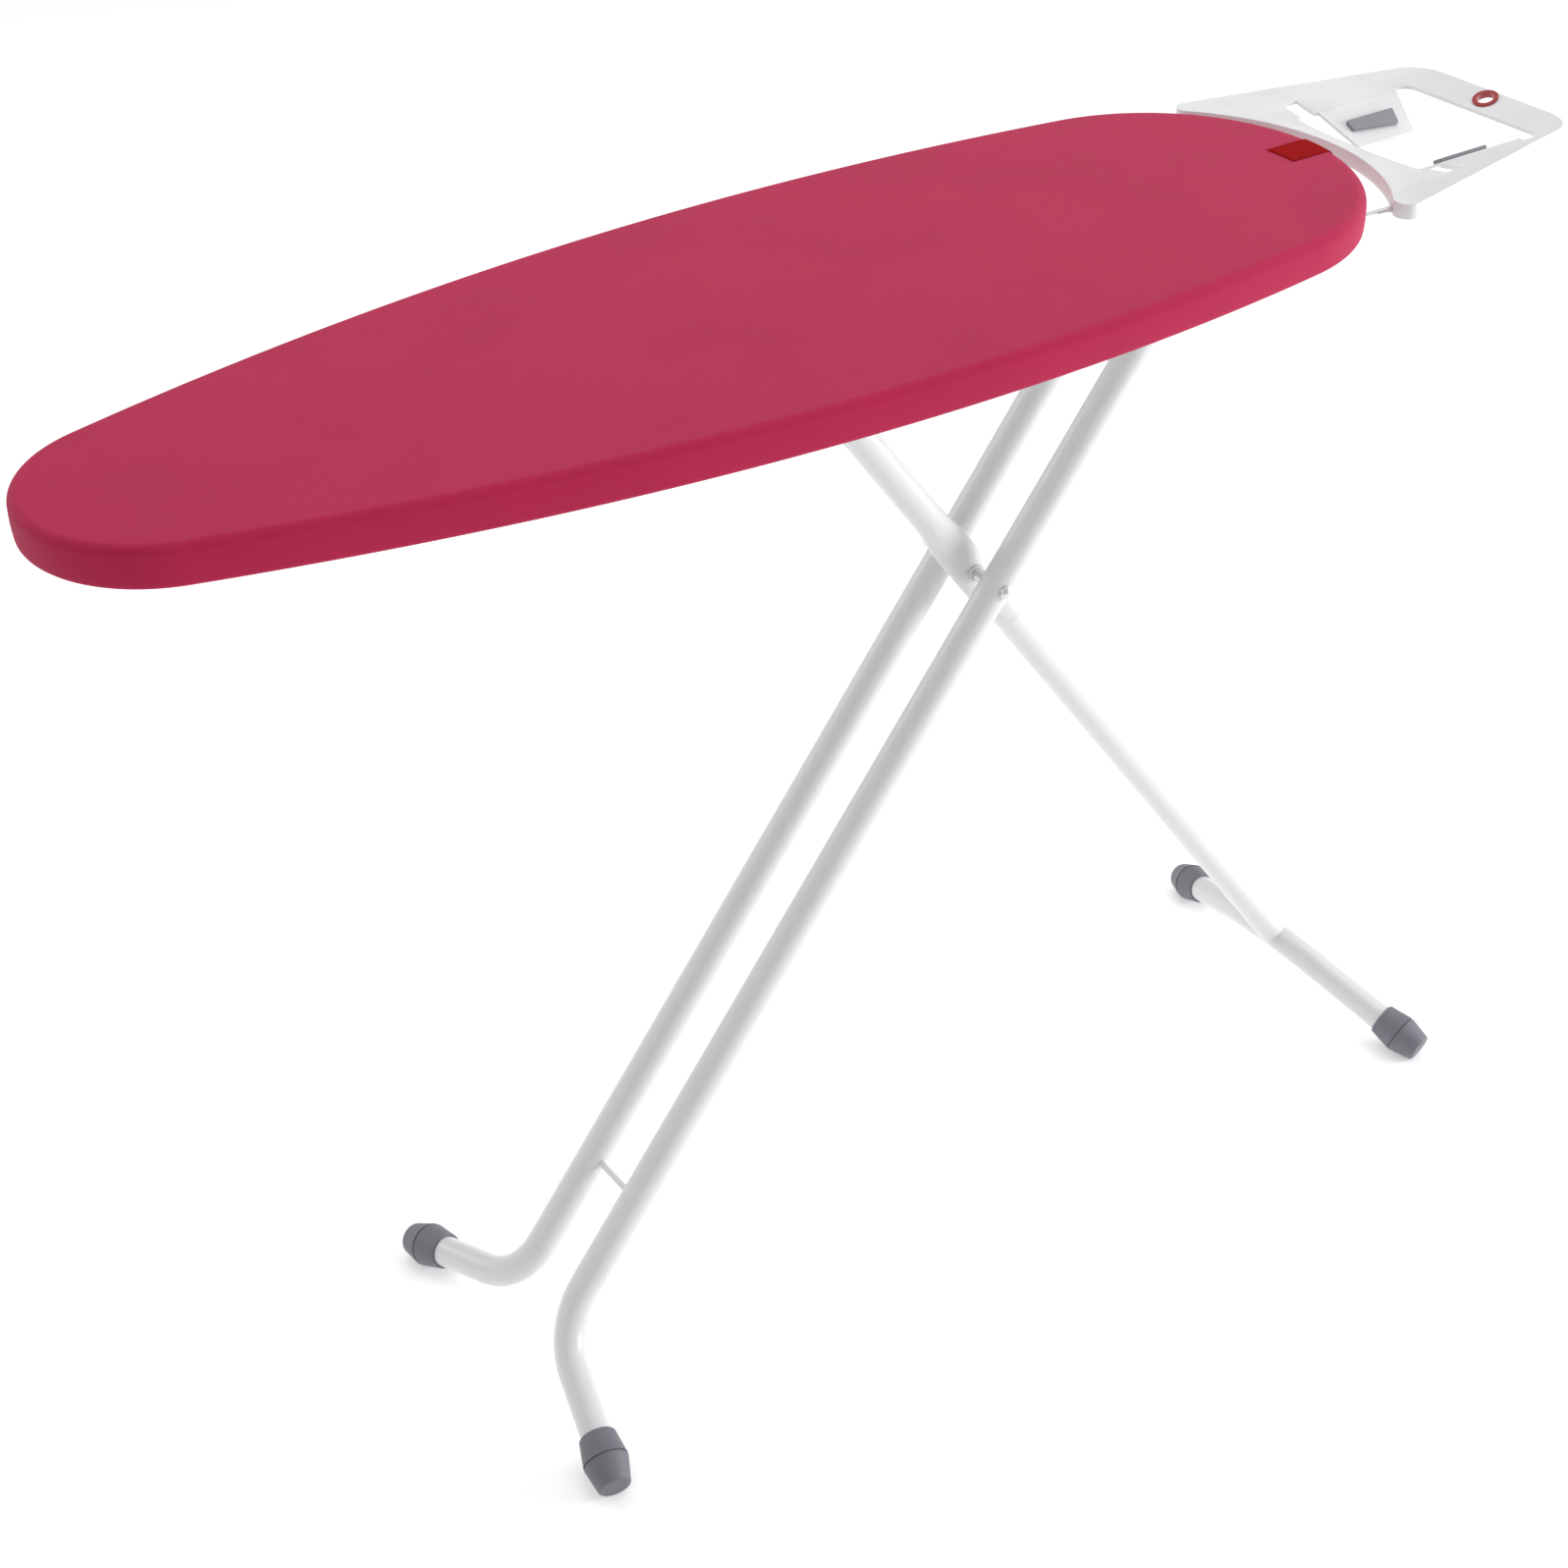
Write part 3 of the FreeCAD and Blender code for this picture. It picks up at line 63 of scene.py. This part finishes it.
# Padded edge, from its least size at the nose to its full size at the butt.
EDGE_TURN = 0.0065      # width and depth of the turn without its padding
EDGE_PADDING = 0.0030   # what full padding adds to both
EDGE_CURVE = 1.35       # 0 hugs the corner, 1.35 is near a quarter circle, 3 a straight bevel
EDGE_STEPS = 12
PADDING_START = -0.2    # where the padding starts to fill out
PADDING_RUN = 0.5
LEAST_PADDING = 0.3

SKIRT_STEPS = 5
SKIRT_LEAN = 0.0002     # how far in the skirt's foot stands
SKIRT_BELLY = 0.0004
HEM_ROUND = 0.004       # turn of the skirt under the rim
HEM_STEPS = 5
HEM_REACH = 0.0155      # how far the hem is drawn in under the board
REACH_STEPS = 4
PUCKERS = 230           # gathers of the hem in one turn round the board
PUCKER = 0.0008

CLOTH = 0.0008          # thickness of the cover
CLOTH_SPACING = 0.0045  # of the mesh along the outline
RIPPLE = 0.00012        # unevenness of the flat top
# Rows of the top, as shares of the way from its edge to the middle.
CROWN_ROWS = (0.0, 0.02, 0.05, 0.11, 0.2, 0.32, 0.46, 0.62, 0.8, 1.0)

FOAM_SLACK = 0.0003     # between the foam and the cover
ROD_HOLE = 0.0048       # buttonholes in the skirt, about the rods' axes


# ------------------------------------------------------------------ materials

def linear(rgb):
    """Linear colour of a display colour given as fractions."""
    return tuple(c / 12.92 if c <= 0.04045 else ((c + 0.055) / 1.055) ** 2.4 for c in rgb) + (1.0,)


class Surface:
    """A Principled material with helpers for its procedural detail."""

    def __init__(self, name, colour, roughness, metallic=0.0, **constants):
        self.material = bpy.data.materials.new(name)
        self.material.use_nodes = True
        self.tree = self.material.node_tree
        self.shader = self.tree.nodes["Principled BSDF"]
        self.colour = linear(colour)
        self.shader.inputs["Base Color"].default_value = self.colour
        self.shader.inputs["Roughness"].default_value = roughness
        self.shader.inputs["Metallic"].default_value = metallic
        for socket, value in constants.items():
            self.shader.inputs[socket.replace("_", " ")].default_value = value
        self.place = self.tree.nodes.new("ShaderNodeTexCoord")
        self.bump = None

    def link(self, a, b):
        self.tree.links.new(a, b)

    def noise(self, scale, detail=3.0, coordinates="Object", stretch=(1, 1, 1)):
        """Noise over the surface; scale is in features per metre."""
        mapping = self.tree.nodes.new("ShaderNodeMapping")
        mapping.inputs["Scale"].default_value = stretch
        self.link(self.place.outputs[coordinates], mapping.inputs["Vector"])
        texture = self.tree.nodes.new("ShaderNodeTexNoise")
        texture.inputs["Scale"].default_value = scale
        texture.inputs["Detail"].default_value = detail
        self.link(mapping.outputs["Vector"], texture.inputs["Vector"])
        return texture.outputs["Fac"]

    def threads(self, pitch, direction, coordinates="UV"):
        """Parallel threads across one direction, at a pitch in metres."""
        wave = self.tree.nodes.new("ShaderNodeTexWave")
        wave.bands_direction = direction
        wave.inputs["Scale"].default_value = 2 * math.pi / (20 * pitch)
        wave.inputs["Distortion"].default_value = 0.6
        wave.inputs["Detail"].default_value = 1.0
        self.link(self.place.outputs[coordinates], wave.inputs["Vector"])
        return wave.outputs["Fac"]

    def math(self, operation, a, b):
        node = self.tree.nodes.new("ShaderNodeMath")
        node.operation = operation
        for socket, value in zip(node.inputs, (a, b)):
            if isinstance(value, (int, float)):
                socket.default_value = value
            else:
                self.link(value, socket)
        return node.outputs[0]

    def vary_colour(self, fac, low, high):
        """Base colour runs from low to high times itself with fac."""
        ramp = self.tree.nodes.new("ShaderNodeValToRGB")
        ramp.color_ramp.elements[0].position = 0.3
        ramp.color_ramp.elements[1].position = 0.7
        for element, times in zip(ramp.color_ramp.elements, (low, high)):
            element.color = tuple(min(1.0, c * times) for c in self.colour[:3]) + (1.0,)
        self.link(fac, ramp.inputs["Fac"])
        self.link(ramp.outputs["Color"], self.shader.inputs["Base Color"])

    def vary_roughness(self, fac, low, high):
        spread = self.tree.nodes.new("ShaderNodeMapRange")
        spread.inputs["To Min"].default_value = low
        spread.inputs["To Max"].default_value = high
        self.link(fac, spread.inputs["Value"])
        self.link(spread.outputs["Result"], self.shader.inputs["Roughness"])

    def raise_by(self, height, distance, strength=1.0):
        """Bump of a height in metres, on top of any before it."""
        node = self.tree.nodes.new("ShaderNodeBump")
        node.inputs["Strength"].default_value = strength
        node.inputs["Distance"].default_value = distance
        self.link(height, node.inputs["Height"])
        if self.bump is not None:
            self.link(self.bump, node.inputs["Normal"])
        self.bump = node.outputs["Normal"]
        self.link(self.bump, self.shader.inputs["Normal"])


def woven(name, colour, pitch, roughness, sheen, coordinates="UV", depth=0.00012):
    """Plain weave: two sets of threads, slubs along them and a soft change of dye."""
    cloth = Surface(name, colour, roughness, Sheen_Weight=sheen, Sheen_Roughness=0.45,
                    Specular_IOR_Level=0.06)
    warp = cloth.threads(pitch, "X", coordinates)
    weft = cloth.threads(pitch, "Y", coordinates)
    over = cloth.math("MAXIMUM", warp, weft)
    slub = cloth.noise(240, 4, coordinates, (1, 5, 1))
    dye = cloth.noise(9, 3, coordinates)
    blend = cloth.math("ADD", cloth.math("MULTIPLY", slub, 0.35), cloth.math("MULTIPLY", dye, 0.65))
    cloth.vary_colour(blend, 0.94, 1.06)
    cloth.raise_by(cloth.math("ADD", over, cloth.math("MULTIPLY", slub, 0.6)), depth)
    return cloth.material


def powder_coat(name, colour, roughness=0.33):
    """Sprayed and baked paint: a faint orange peel under a satin skin."""
    paint = Surface(name, colour, roughness, Coat_Weight=0.25, Coat_Roughness=0.18)
    peel = paint.noise(900, 2)
    handling = paint.noise(14, 4)
    paint.vary_colour(handling, 0.985, 1.0)
    paint.vary_roughness(handling, roughness - 0.05, roughness + 0.07)
    paint.raise_by(peel, 0.00003, 0.6)
    return paint.material


def moulded(name, colour, roughness, grain=0.00002, **constants):
    """Injection moulded plastic or rubber with a fine sparked grain."""
    plastic = Surface(name, colour, roughness, **constants)
    spark = plastic.noise(2600, 3)
    flow = plastic.noise(22, 3)
    plastic.vary_colour(flow, 0.95, 1.05)
    plastic.vary_roughness(spark, max(0.02, roughness - 0.06), roughness + 0.08)
    plastic.raise_by(spark, grain, 0.8)
    return plastic.material


def drawn_steel(name, colour, roughness=0.28):
    """Bright zinc on drawn wire: long faint scratches and a slight mottle."""
    steel = Surface(name, colour, roughness, metallic=0.75)
    lines = steel.noise(500, 3, stretch=(0.05, 1, 1))
    mottle = steel.noise(130, 2)
    steel.vary_colour(mottle, 0.9, 1.05)
    steel.vary_roughness(lines, roughness - 0.08, roughness + 0.12)
    steel.raise_by(lines, 0.00001, 0.5)
    return steel.material


def open_foam(name, colour):
    foam = Surface(name, colour, 0.95, Specular_IOR_Level=0.1)
    cells = foam.noise(1300, 4)
    foam.vary_colour(cells, 0.82, 1.0)
    foam.raise_by(cells, 0.0004)
    return foam.material


MATERIALS = {
    "cover_fabric": woven("cover_cotton", (0.695, 0.150, 0.303), 0.0007, 0.9, 0.13),
    "tag_fabric": woven("tag_satin", (0.585, 0.008, 0.02), 0.0005, 0.7, 0.0, depth=0.00008),
    "elastic": woven("elastic_weave", (0.86, 0.86, 0.85), 0.0009, 0.8, 0.1, "Object"),
    "foam": open_foam("open_foam", (0.86, 0.85, 0.80)),
    "white_steel": powder_coat("white_powder_coat", (0.865, 0.865, 0.87)),
    "bright_steel": drawn_steel("zinc_wire", (0.90, 0.90, 0.91)),
    "white_plastic": moulded("white_moulding", (0.855, 0.855, 0.86), 0.38),
    "grey_plastic": moulded("grey_nylon", (0.46, 0.46, 0.49), 0.42),
    "grey_rubber": moulded("grey_rubber", (0.44, 0.44, 0.475), 0.55, 0.00004),
    "grey_silicone": moulded("grey_silicone", (0.52, 0.52, 0.55), 0.45),
    "red_plastic": moulded("red_gloss", (0.60, 0.01, 0.03), 0.22, 0.000004, Coat_Weight=0.4),
}


def dress_frame():
    """Every CAD node gets the finish of its material slot."""
    for row in frame["record"]["subparts"]:
        node = frame["nodes"][row["node"]]
        node.data.materials.clear()
        node.data.materials.append(MATERIALS[row["material_slot"]])


SOFT_EDGES = {
    "iron_rest_frame": 0.0009,
    "rest_pad_left": 0.0012,
    "rest_pad_right": 0.0012,
    "hinge_bracket_left": 0.0006,
    "hinge_bracket_right": 0.0006,
    "height_lever": 0.0005,
    "lever_grip": 0.0015,
    "lock_housing": 0.0015,
}


def soften_edges():
    """Small rounds on the sharp edges of moulded and pressed parts."""
    for name, width in SOFT_EDGES.items():
        node = frame["nodes"][name]
        join = node.modifiers.new("join", "WELD")
        join.merge_threshold = 0.00001
        bevel = node.modifiers.new("round", "BEVEL")
        bevel.width = width
        bevel.segments = 2
        bevel.limit_method = "ANGLE"
        bevel.angle_limit = math.radians(35)


# -------------------------------------------------------------- board outline

def side_centre():
    """Centre of the arc that makes the +y side of the board."""
    reach_nose, reach_butt = SIDE_RADIUS - NOSE_RADIUS, SIDE_RADIUS - BUTT_RADIUS
    span = BUTT_X - NOSE_X
    along = (reach_nose ** 2 - reach_butt ** 2 + span ** 2) / (2 * span)
    return Vector((NOSE_X + along, -math.sqrt(reach_nose ** 2 - along ** 2)))


def outline_arcs():
    """(centre, radius, first angle, last angle) of the outline's arcs, anticlockwise."""
    up = side_centre()
    nose = math.atan2(-up.y, NOSE_X - up.x)
    butt = math.atan2(-up.y, BUTT_X - up.x)
    down = Vector((up.x, -up.y))
    return [
        (Vector((BUTT_X, 0)), BUTT_RADIUS, -butt, butt),
        (up, SIDE_RADIUS, butt, nose),
        (Vector((NOSE_X, 0)), NOSE_RADIUS, nose, 2 * math.pi - nose),
        (down, SIDE_RADIUS, 2 * math.pi - nose, 2 * math.pi - butt),
    ]


def fullness(x):
    """How full the padding is at a place along the board, up to 1 at the butt."""
    share = min(max((x - PADDING_START) / PADDING_RUN, 0), 1)
    return LEAST_PADDING + (1 - LEAST_PADDING) * share * share * (3 - 2 * share)


def stations(spacing):
    """Places round the outline: (point, outward normal, distance along)."""
    places, walked = [], 0.0
    for centre, radius, start, end in outline_arcs():
        length = radius * (end - start)
        count = max(8, 2 * round(length / spacing / 2))
        for n in range(count):
            angle = start + (end - start) * n / count
            normal = Vector((math.cos(angle), math.sin(angle)))
            places.append((centre + radius * normal, normal, walked + length * n / count))
        walked += length
    return places, walked


def spine(point):
    """Nearest place on the line between the two end arcs' centres."""
    return Vector((min(max(point.x, NOSE_X), BUTT_X), 0))


def new_piece(name, verts, faces, uvs=None, material=None):
    mesh = bpy.data.meshes.new(name)
    mesh.from_pydata([tuple(v) for v in verts], [], faces)
    if uvs is not None:
        layer = mesh.uv_layers.new(name="flat")
        for loop in mesh.loops:
            layer.data[loop.index].uv = uvs[loop.vertex_index]
    mesh.validate()
    for polygon in mesh.polygons:
        polygon.use_smooth = True
    piece = bpy.data.objects.new(name, mesh)
    bpy.context.scene.collection.objects.link(piece)
    if material:
        mesh.materials.append(material)
    return piece


def weld(piece, distance=1e-5):
    """Merge the points that meet along the spine and turn every face outwards."""
    work = bmesh.new()
    work.from_mesh(piece.data)
    bmesh.ops.remove_doubles(work, verts=work.verts, dist=distance)
    bmesh.ops.recalc_face_normals(work, faces=work.faces)
    work.to_mesh(piece.data)
    work.free()


# ----------------------------------------------------------------------- cover

def gather(walked, whole):
    """Pucker of the elastic hem along the edge, from -1 to 1, closed round the board."""
    turn = 2 * math.pi * walked / whole
    seat = Vector((math.cos(turn), math.sin(turn), 0)) * 30
    return 0.6 * math.sin(PUCKERS * turn + 3 * noise.noise(seat)) + 0.8 * noise.noise(seat * 3.1)


def shoulder(x, thick=0.0):
    """(inset, drop, distance) over the padded edge; thick sets the curve back into the pad."""
    size = EDGE_TURN + EDGE_PADDING * fullness(x) - thick
    rows, walked, last = [], 0.0, None
    for n in range(EDGE_STEPS + 1):
        t = n / EDGE_STEPS
        inset = size * ((1 - t) ** 3 + EDGE_CURVE * (1 - t) ** 2 * t)
        drop = size * (EDGE_CURVE * (1 - t) * t ** 2 + t ** 3)
        if last:
            walked += math.hypot(inset - last[0], drop - last[1])
        last = (inset, drop)
        rows.append((inset + thick, drop, walked))
    return rows


def cover_profile(x, walked, whole):
    """(inset, height, distance past the outline) from the top to the hem's edge."""
    pucker = gather(walked, whole)
    curve = shoulder(x)
    rows = [(inset, TOP - drop, far - curve[0][0]) for inset, drop, far in curve]
    start, run = rows[-1][1], rows[-1][2]
    depth = start - BOTTOM - HEM_ROUND
    for n in range(1, SKIRT_STEPS + 1):
        share = n / SKIRT_STEPS
        belly = SKIRT_BELLY * math.sin(math.pi * share)
        rows.append((SKIRT_LEAN * share - belly, start - depth * share, run + depth * share))
    run += depth
    for n in range(1, HEM_STEPS + 1):
        a = math.pi / 2 * n / HEM_STEPS
        rows.append((SKIRT_LEAN + HEM_ROUND * (1 - math.cos(a)),
                     BOTTOM + HEM_ROUND * (1 - math.sin(a)),
                     run + HEM_ROUND * a))
    run += HEM_ROUND * math.pi / 2
    reach = HEM_REACH - HEM_ROUND
    for n in range(1, REACH_STEPS + 1):
        share = n / REACH_STEPS
        rows.append((SKIRT_LEAN + HEM_ROUND + reach * share,
                     BOTTOM + PUCKER * pucker * share,
                     run + reach * share))
    return rows


def rod_middles():
    """A point on the axis of each of the iron rest's rods."""
    boxes = [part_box(name) for name in ("rest_rod_left", "rest_rod_right")]
    return [(low + high) / 2 for low, high in boxes]


def in_rod_hole(a, b, rods):
    """Whether the patch between two corners lies where an iron rest rod comes out of the skirt."""
    middle = (Vector(a) + Vector(b)) / 2
    return middle.x > BUTT_X and any(
        math.hypot(middle.y - rod.y, middle.z - rod.z) < ROD_HOLE for rod in rods)


def make_cover():
    """One stretched sheet: flat on the pad, rounded over the edge, drawn in under the rim."""
    places, whole = stations(CLOTH_SPACING)
    rods = rod_middles()
    verts, uvs, faces = [], [], []
    for point, normal, walked in places:
        start = point - normal * shoulder(point.x)[0][0]
        middle = spine(start)
        for share in reversed(CROWN_ROWS[1:]):
            flat = start.lerp(middle, share)
            ripple = RIPPLE * noise.noise(Vector((flat.x, flat.y, 0)) * 9)
            verts.append((flat.x, flat.y, TOP + ripple * min(1, share * 4)))
            uvs.append((flat.x, flat.y))
        for inset, height, over in cover_profile(point.x, walked, whole):
            place = point - normal * inset
            verts.append((place.x, place.y, height))
            flat = point + normal * over
            uvs.append((flat.x, flat.y))
    rows = len(verts) // len(places)
    for i in range(len(places)):
        near, far = i * rows, (i + 1) % len(places) * rows
        for k in range(rows - 1):
            if not in_rod_hole(verts[near + k], verts[far + k + 1], rods):
                faces.append((near + k, near + k + 1, far + k + 1, far + k))
    cover = new_piece("cover_cloth", verts, faces, uvs, MATERIALS["cover_fabric"])
    weld(cover)
    thick = cover.modifiers.new("cloth", "SOLIDIFY")
    thick.thickness = CLOTH
    thick.offset = -1
    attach(cover, "board")
    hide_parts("cover")
    edge = cover_profile(0, 0, whole)[-1][2]
    outline_area() + whole * edge + math.pi * edge ** 2


def outline_area():
    """Flat area inside the outline."""
    points = [p for p, _, _ in stations(0.01)[0]]
    turns = zip(points, points[1:] + points[:1])
    return abs(sum(a.x * b.y - b.x * a.y for a, b in turns)) / 2


# ------------------------------------------------------------------- foam, hem

def closed_band(name, rows_at, spacing, material):
    """Closed ring round the board from a closed section, given at each station."""
    places, whole = stations(spacing)
    verts, faces = [], []
    for point, normal, walked in places:
        section = rows_at(walked, whole)
        for inset, height in section:
            place = point - normal * inset
            verts.append((place.x, place.y, height))
    count = len(section)
    for i in range(len(places)):
        near, far = i * count, (i + 1) % len(places) * count
        for k in range(count):
            after = (k + 1) % count
            faces.append((near + k, near + after, far + after, far + k))
    piece = new_piece(name, verts, faces, None, material)
    weld(piece, 1e-7)
    return piece


def make_hem_cord():
    """Flat elastic sewn round under the hem, following its puckers."""
    low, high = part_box("hem_elastic")
    half_width, half_depth = 0.0027, 0.0009
    margin, sag, rise = 0.0005, 0.0003, 0.0004
    middle = HEM_REACH - half_width - margin

    def section(walked, whole):
        level = (low.z + high.z) / 2 - HEM_HANG - sag + rise * gather(walked, whole)
        return [
            (middle + half_width * math.cos(a), level + half_depth * math.sin(a))
            for a in (2 * math.pi * n / 10 for n in range(10))
        ]

    cord = closed_band("hem_cord", section, 0.006, MATERIALS["elastic"])
    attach(cord, "board")
    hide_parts("hem_elastic")


def make_foam():
    """Felt-backed foam on the steel top, rolled off at its edge."""
    low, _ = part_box("foam_pad")
    places, _ = stations(CLOTH_SPACING)
    base, least_edge = low.z + 0.0001, 0.0003
    ceiling = TOP - CLOTH - FOAM_SLACK
    verts, faces = [], []
    for point, normal, _ in places:
        curve = [row for row in shoulder(point.x, CLOTH + FOAM_SLACK)
                 if ceiling - row[1] > low.z + least_edge]
        rings = [(inset, ceiling - drop) for inset, drop, _ in reversed(curve)]
        rings = [rings[0]] * (EDGE_STEPS + 1 - len(rings)) + rings
        inset = rings[0][0] + 0.0002
        edge = [(inset, base)] + rings
        start = point - normal * rings[-1][0]
        middle = spine(start)
        under = point - normal * inset
        column = []
        for share in (1.0, 0.6, 0.25):
            flat = under.lerp(spine(under), share)
            column.append((flat.x, flat.y, base))
        for away, height in edge:
            place = point - normal * away
            column.append((place.x, place.y, height))
        for share in (0.25, 0.6, 1.0):
            flat = start.lerp(middle, share)
            column.append((flat.x, flat.y, ceiling))
        verts.extend(column)
    rows = len(verts) // len(places)
    for i in range(len(places)):
        near, far = i * rows, (i + 1) % len(places) * rows
        for k in range(rows - 1):
            faces.append((near + k, near + k + 1, far + k + 1, far + k))
    foam = new_piece("foam_felt", verts, faces, None, MATERIALS["foam"])
    weld(foam)
    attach(foam, "board")
    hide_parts("foam_pad")


# ------------------------------------------------------------------------- tag

TAG_OVERHANG = 0.004    # how far the tag runs on down the skirt
TAG_PROUD = 0.0006      # of its lower face over the cloth
TAG_TUCK = 0.0002       # the same at its sewn rim
STITCH_SIDES = 6
STITCH_SPANS = 4


def butt_edge(y):
    """Where the outline's butt arc lies along x, at y."""
    return BUTT_X + math.sqrt(BUTT_RADIUS ** 2 - y ** 2)


def over_edge(y, along, proud):
    """Point a distance along a line that runs in +x over the butt edge at y, lifted off the cloth."""
    edge_x = butt_edge(y)
    curve = shoulder(edge_x)
    flat = edge_x - curve[0][0]
    if along < flat:
        return Vector((along, y, TOP + proud))
    turn = along - flat
    for (a_in, a_drop, a_far), (b_in, b_drop, b_far) in zip(curve, curve[1:]):
        if turn <= b_far:
            share = (turn - a_far) / (b_far - a_far)
            step = Vector((a_in - b_in, 0, a_drop - b_drop)).normalized()
            outward = Vector((-step.z, 0, step.x))
            place = Vector((edge_x - a_in - (b_in - a_in) * share, y,
                            TOP - a_drop - (b_drop - a_drop) * share))
            return place + outward * proud
    return Vector((edge_x + proud, y, TOP - curve[-1][1] - (turn - curve[-1][2])))


def tag_reach(y):
    """How far along the tag's folded end lies, measured over the edge at y."""
    edge_x = butt_edge(y)
    curve = shoulder(edge_x)
    return edge_x - curve[0][0] + curve[-1][2] + TAG_OVERHANG


def make_tag():
    """Plain woven tag sewn to the cover near the butt and folded down over its edge."""
    low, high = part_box("woven_tag")
    across, lengthwise = 20, 44
    verts, uvs, faces = [], [], []
    start = low.x
    for j in range(across + 1):
        y = low.y + (high.y - low.y) * j / across
        end = tag_reach(y)
        for i in range(lengthwise + 1):
            along = start + (end - start) * i / lengthwise
            rim = min(i, lengthwise - i, j, across - j)
            verts.append(over_edge(y, along, TAG_PROUD if rim else TAG_TUCK))
            uvs.append((along, y))
    wide = lengthwise + 1
    for j in range(across):
        for i in range(lengthwise):
            a = j * wide + i
            faces.append((a, a + 1, a + wide + 1, a + wide))
    tag = new_piece("red_tag", verts, faces, uvs, MATERIALS["tag_fabric"])
    thick = tag.modifiers.new("ribbon", "SOLIDIFY")
    thick.thickness = 0.0005
    thick.offset = 1
    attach(tag, "board")
    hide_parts("woven_tag")
    stitch_tag(low, high)


def stitch_tag(low, high):
    """Run of lockstitches down each side of the tag and across its inner end."""
    inset, pitch = 0.0018, 0.0026
    spots = []
    left, right = low.y + inset, high.y - inset
    reach = BUTT_X + BUTT_RADIUS - low.x - 0.004
    for side in (left, right):
        spots += [(low.x + inset + pitch * n, side, True) for n in range(int(reach / pitch))]
    spots += [(low.x + inset, left + pitch * n, False) for n in range(int((right - left) / pitch))]
    verts, faces = [], []
    length, gauge, height = 0.0019, 0.00022, 0.00125
    for x, y, lengthwise in spots:
        base = len(verts)
        for n in range(STITCH_SPANS + 1):
            share = n / STITCH_SPANS - 0.5
            dip = gauge * 1.6 * (2 * share) ** 2
            along = x + (share * length if lengthwise else 0)
            across = y + (0 if lengthwise else share * length)
            centre = over_edge(across, along, height - dip)
            side = Vector((0, 1, 0)) if lengthwise else Vector((1, 0, 0))
            lift = over_edge(across, along, 0.002) - over_edge(across, along, 0.001)
            lift.normalize()
            fat = gauge * (0.55 if abs(share) == 0.5 else 1)
            for k in range(STITCH_SIDES):
                a = 2 * math.pi / STITCH_SIDES * k
                verts.append(centre + side * fat * math.cos(a) + lift * fat * math.sin(a))
        for n in range(STITCH_SPANS):
            near, far = base + n * STITCH_SIDES, base + (n + 1) * STITCH_SIDES
            for k in range(STITCH_SIDES):
                after = (k + 1) % STITCH_SIDES
                faces.append((near + k, near + after, far + after, far + k))
        last = base + STITCH_SPANS * STITCH_SIDES
        faces.append(tuple(base + k for k in reversed(range(STITCH_SIDES))))
        faces.append(tuple(last + k for k in range(STITCH_SIDES)))
    thread = new_piece("tag_stitches", verts, faces, None,
                       woven("tag_thread", (0.52, 0.02, 0.035), 0.0003, 0.6, 0.1, "Object"))
    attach(thread, "board")


# ---------------------------------------------------------------- stage, light

def make_stage():
    floor = Surface("floor_paper", (0.97, 0.97, 0.97), 0.9, Specular_IOR_Level=0.1,
                    Emission_Color=(1, 1, 1, 1), Emission_Strength=0.3)
    floor.vary_colour(floor.noise(4, 2), 0.995, 1.0)
    half = 14
    verts = [(-half, -half, 0), (half, -half, 0), (half, half, 0), (-half, half, 0)]
    new_piece("floor", verts, [(0, 1, 2, 3)], None, floor.material)


def area_light(name, place, aim, size, watts):
    data = bpy.data.lights.new(name, "AREA")
    data.shape = "RECTANGLE"
    data.size, data.size_y = size
    data.energy = watts
    lamp = bpy.data.objects.new(name, data)
    bpy.context.scene.collection.objects.link(lamp)
    lamp.location = place
    lamp.rotation_euler = (Vector(aim) - Vector(place)).to_track_quat("-Z", "Y").to_euler()


def make_lights():
    """Broad light from above, a low key from the butt's side, a rim light and a bright room."""
    middle = (0, 0, 0.6)
    area_light("overhead", (0.6, 0.5, 3.6), middle, (3.6, 3.0), 50)
    area_light("key", (4.0, -2.3, 1.35), middle, (1.8, 2.0), 140)
    area_light("rim", (-2.0, 3.2, 2.2), middle, (2.0, 1.6), 22)
    world = bpy.data.worlds.new("studio")
    world.use_nodes = True
    world.node_tree.nodes["Background"].inputs["Color"].default_value = (1, 1, 1, 1)
    world.node_tree.nodes["Background"].inputs["Strength"].default_value = 0.555
    bpy.context.scene.world = world
    bpy.context.scene.view_settings.view_transform = "Standard"


def make_camera():
    """Off the near side of the nose, above the board, looking down along it."""
    data = bpy.data.cameras.new("camera")
    data.sensor_width = 36
    data.lens = 58.80
    data.shift_x, data.shift_y = -0.0779, -0.0184
    camera = bpy.data.objects.new("camera", data)
    bpy.context.scene.collection.objects.link(camera)
    camera.location = (-1.0773, -1.4995, 1.7443)
    camera.rotation_euler = (math.radians(55.955), 0, math.radians(-36.297))
    bpy.context.scene.camera = camera


dress_frame()
soften_edges()
make_foam()
make_hem_cord()
make_cover()
make_tag()
make_stage()
make_lights()
make_camera()
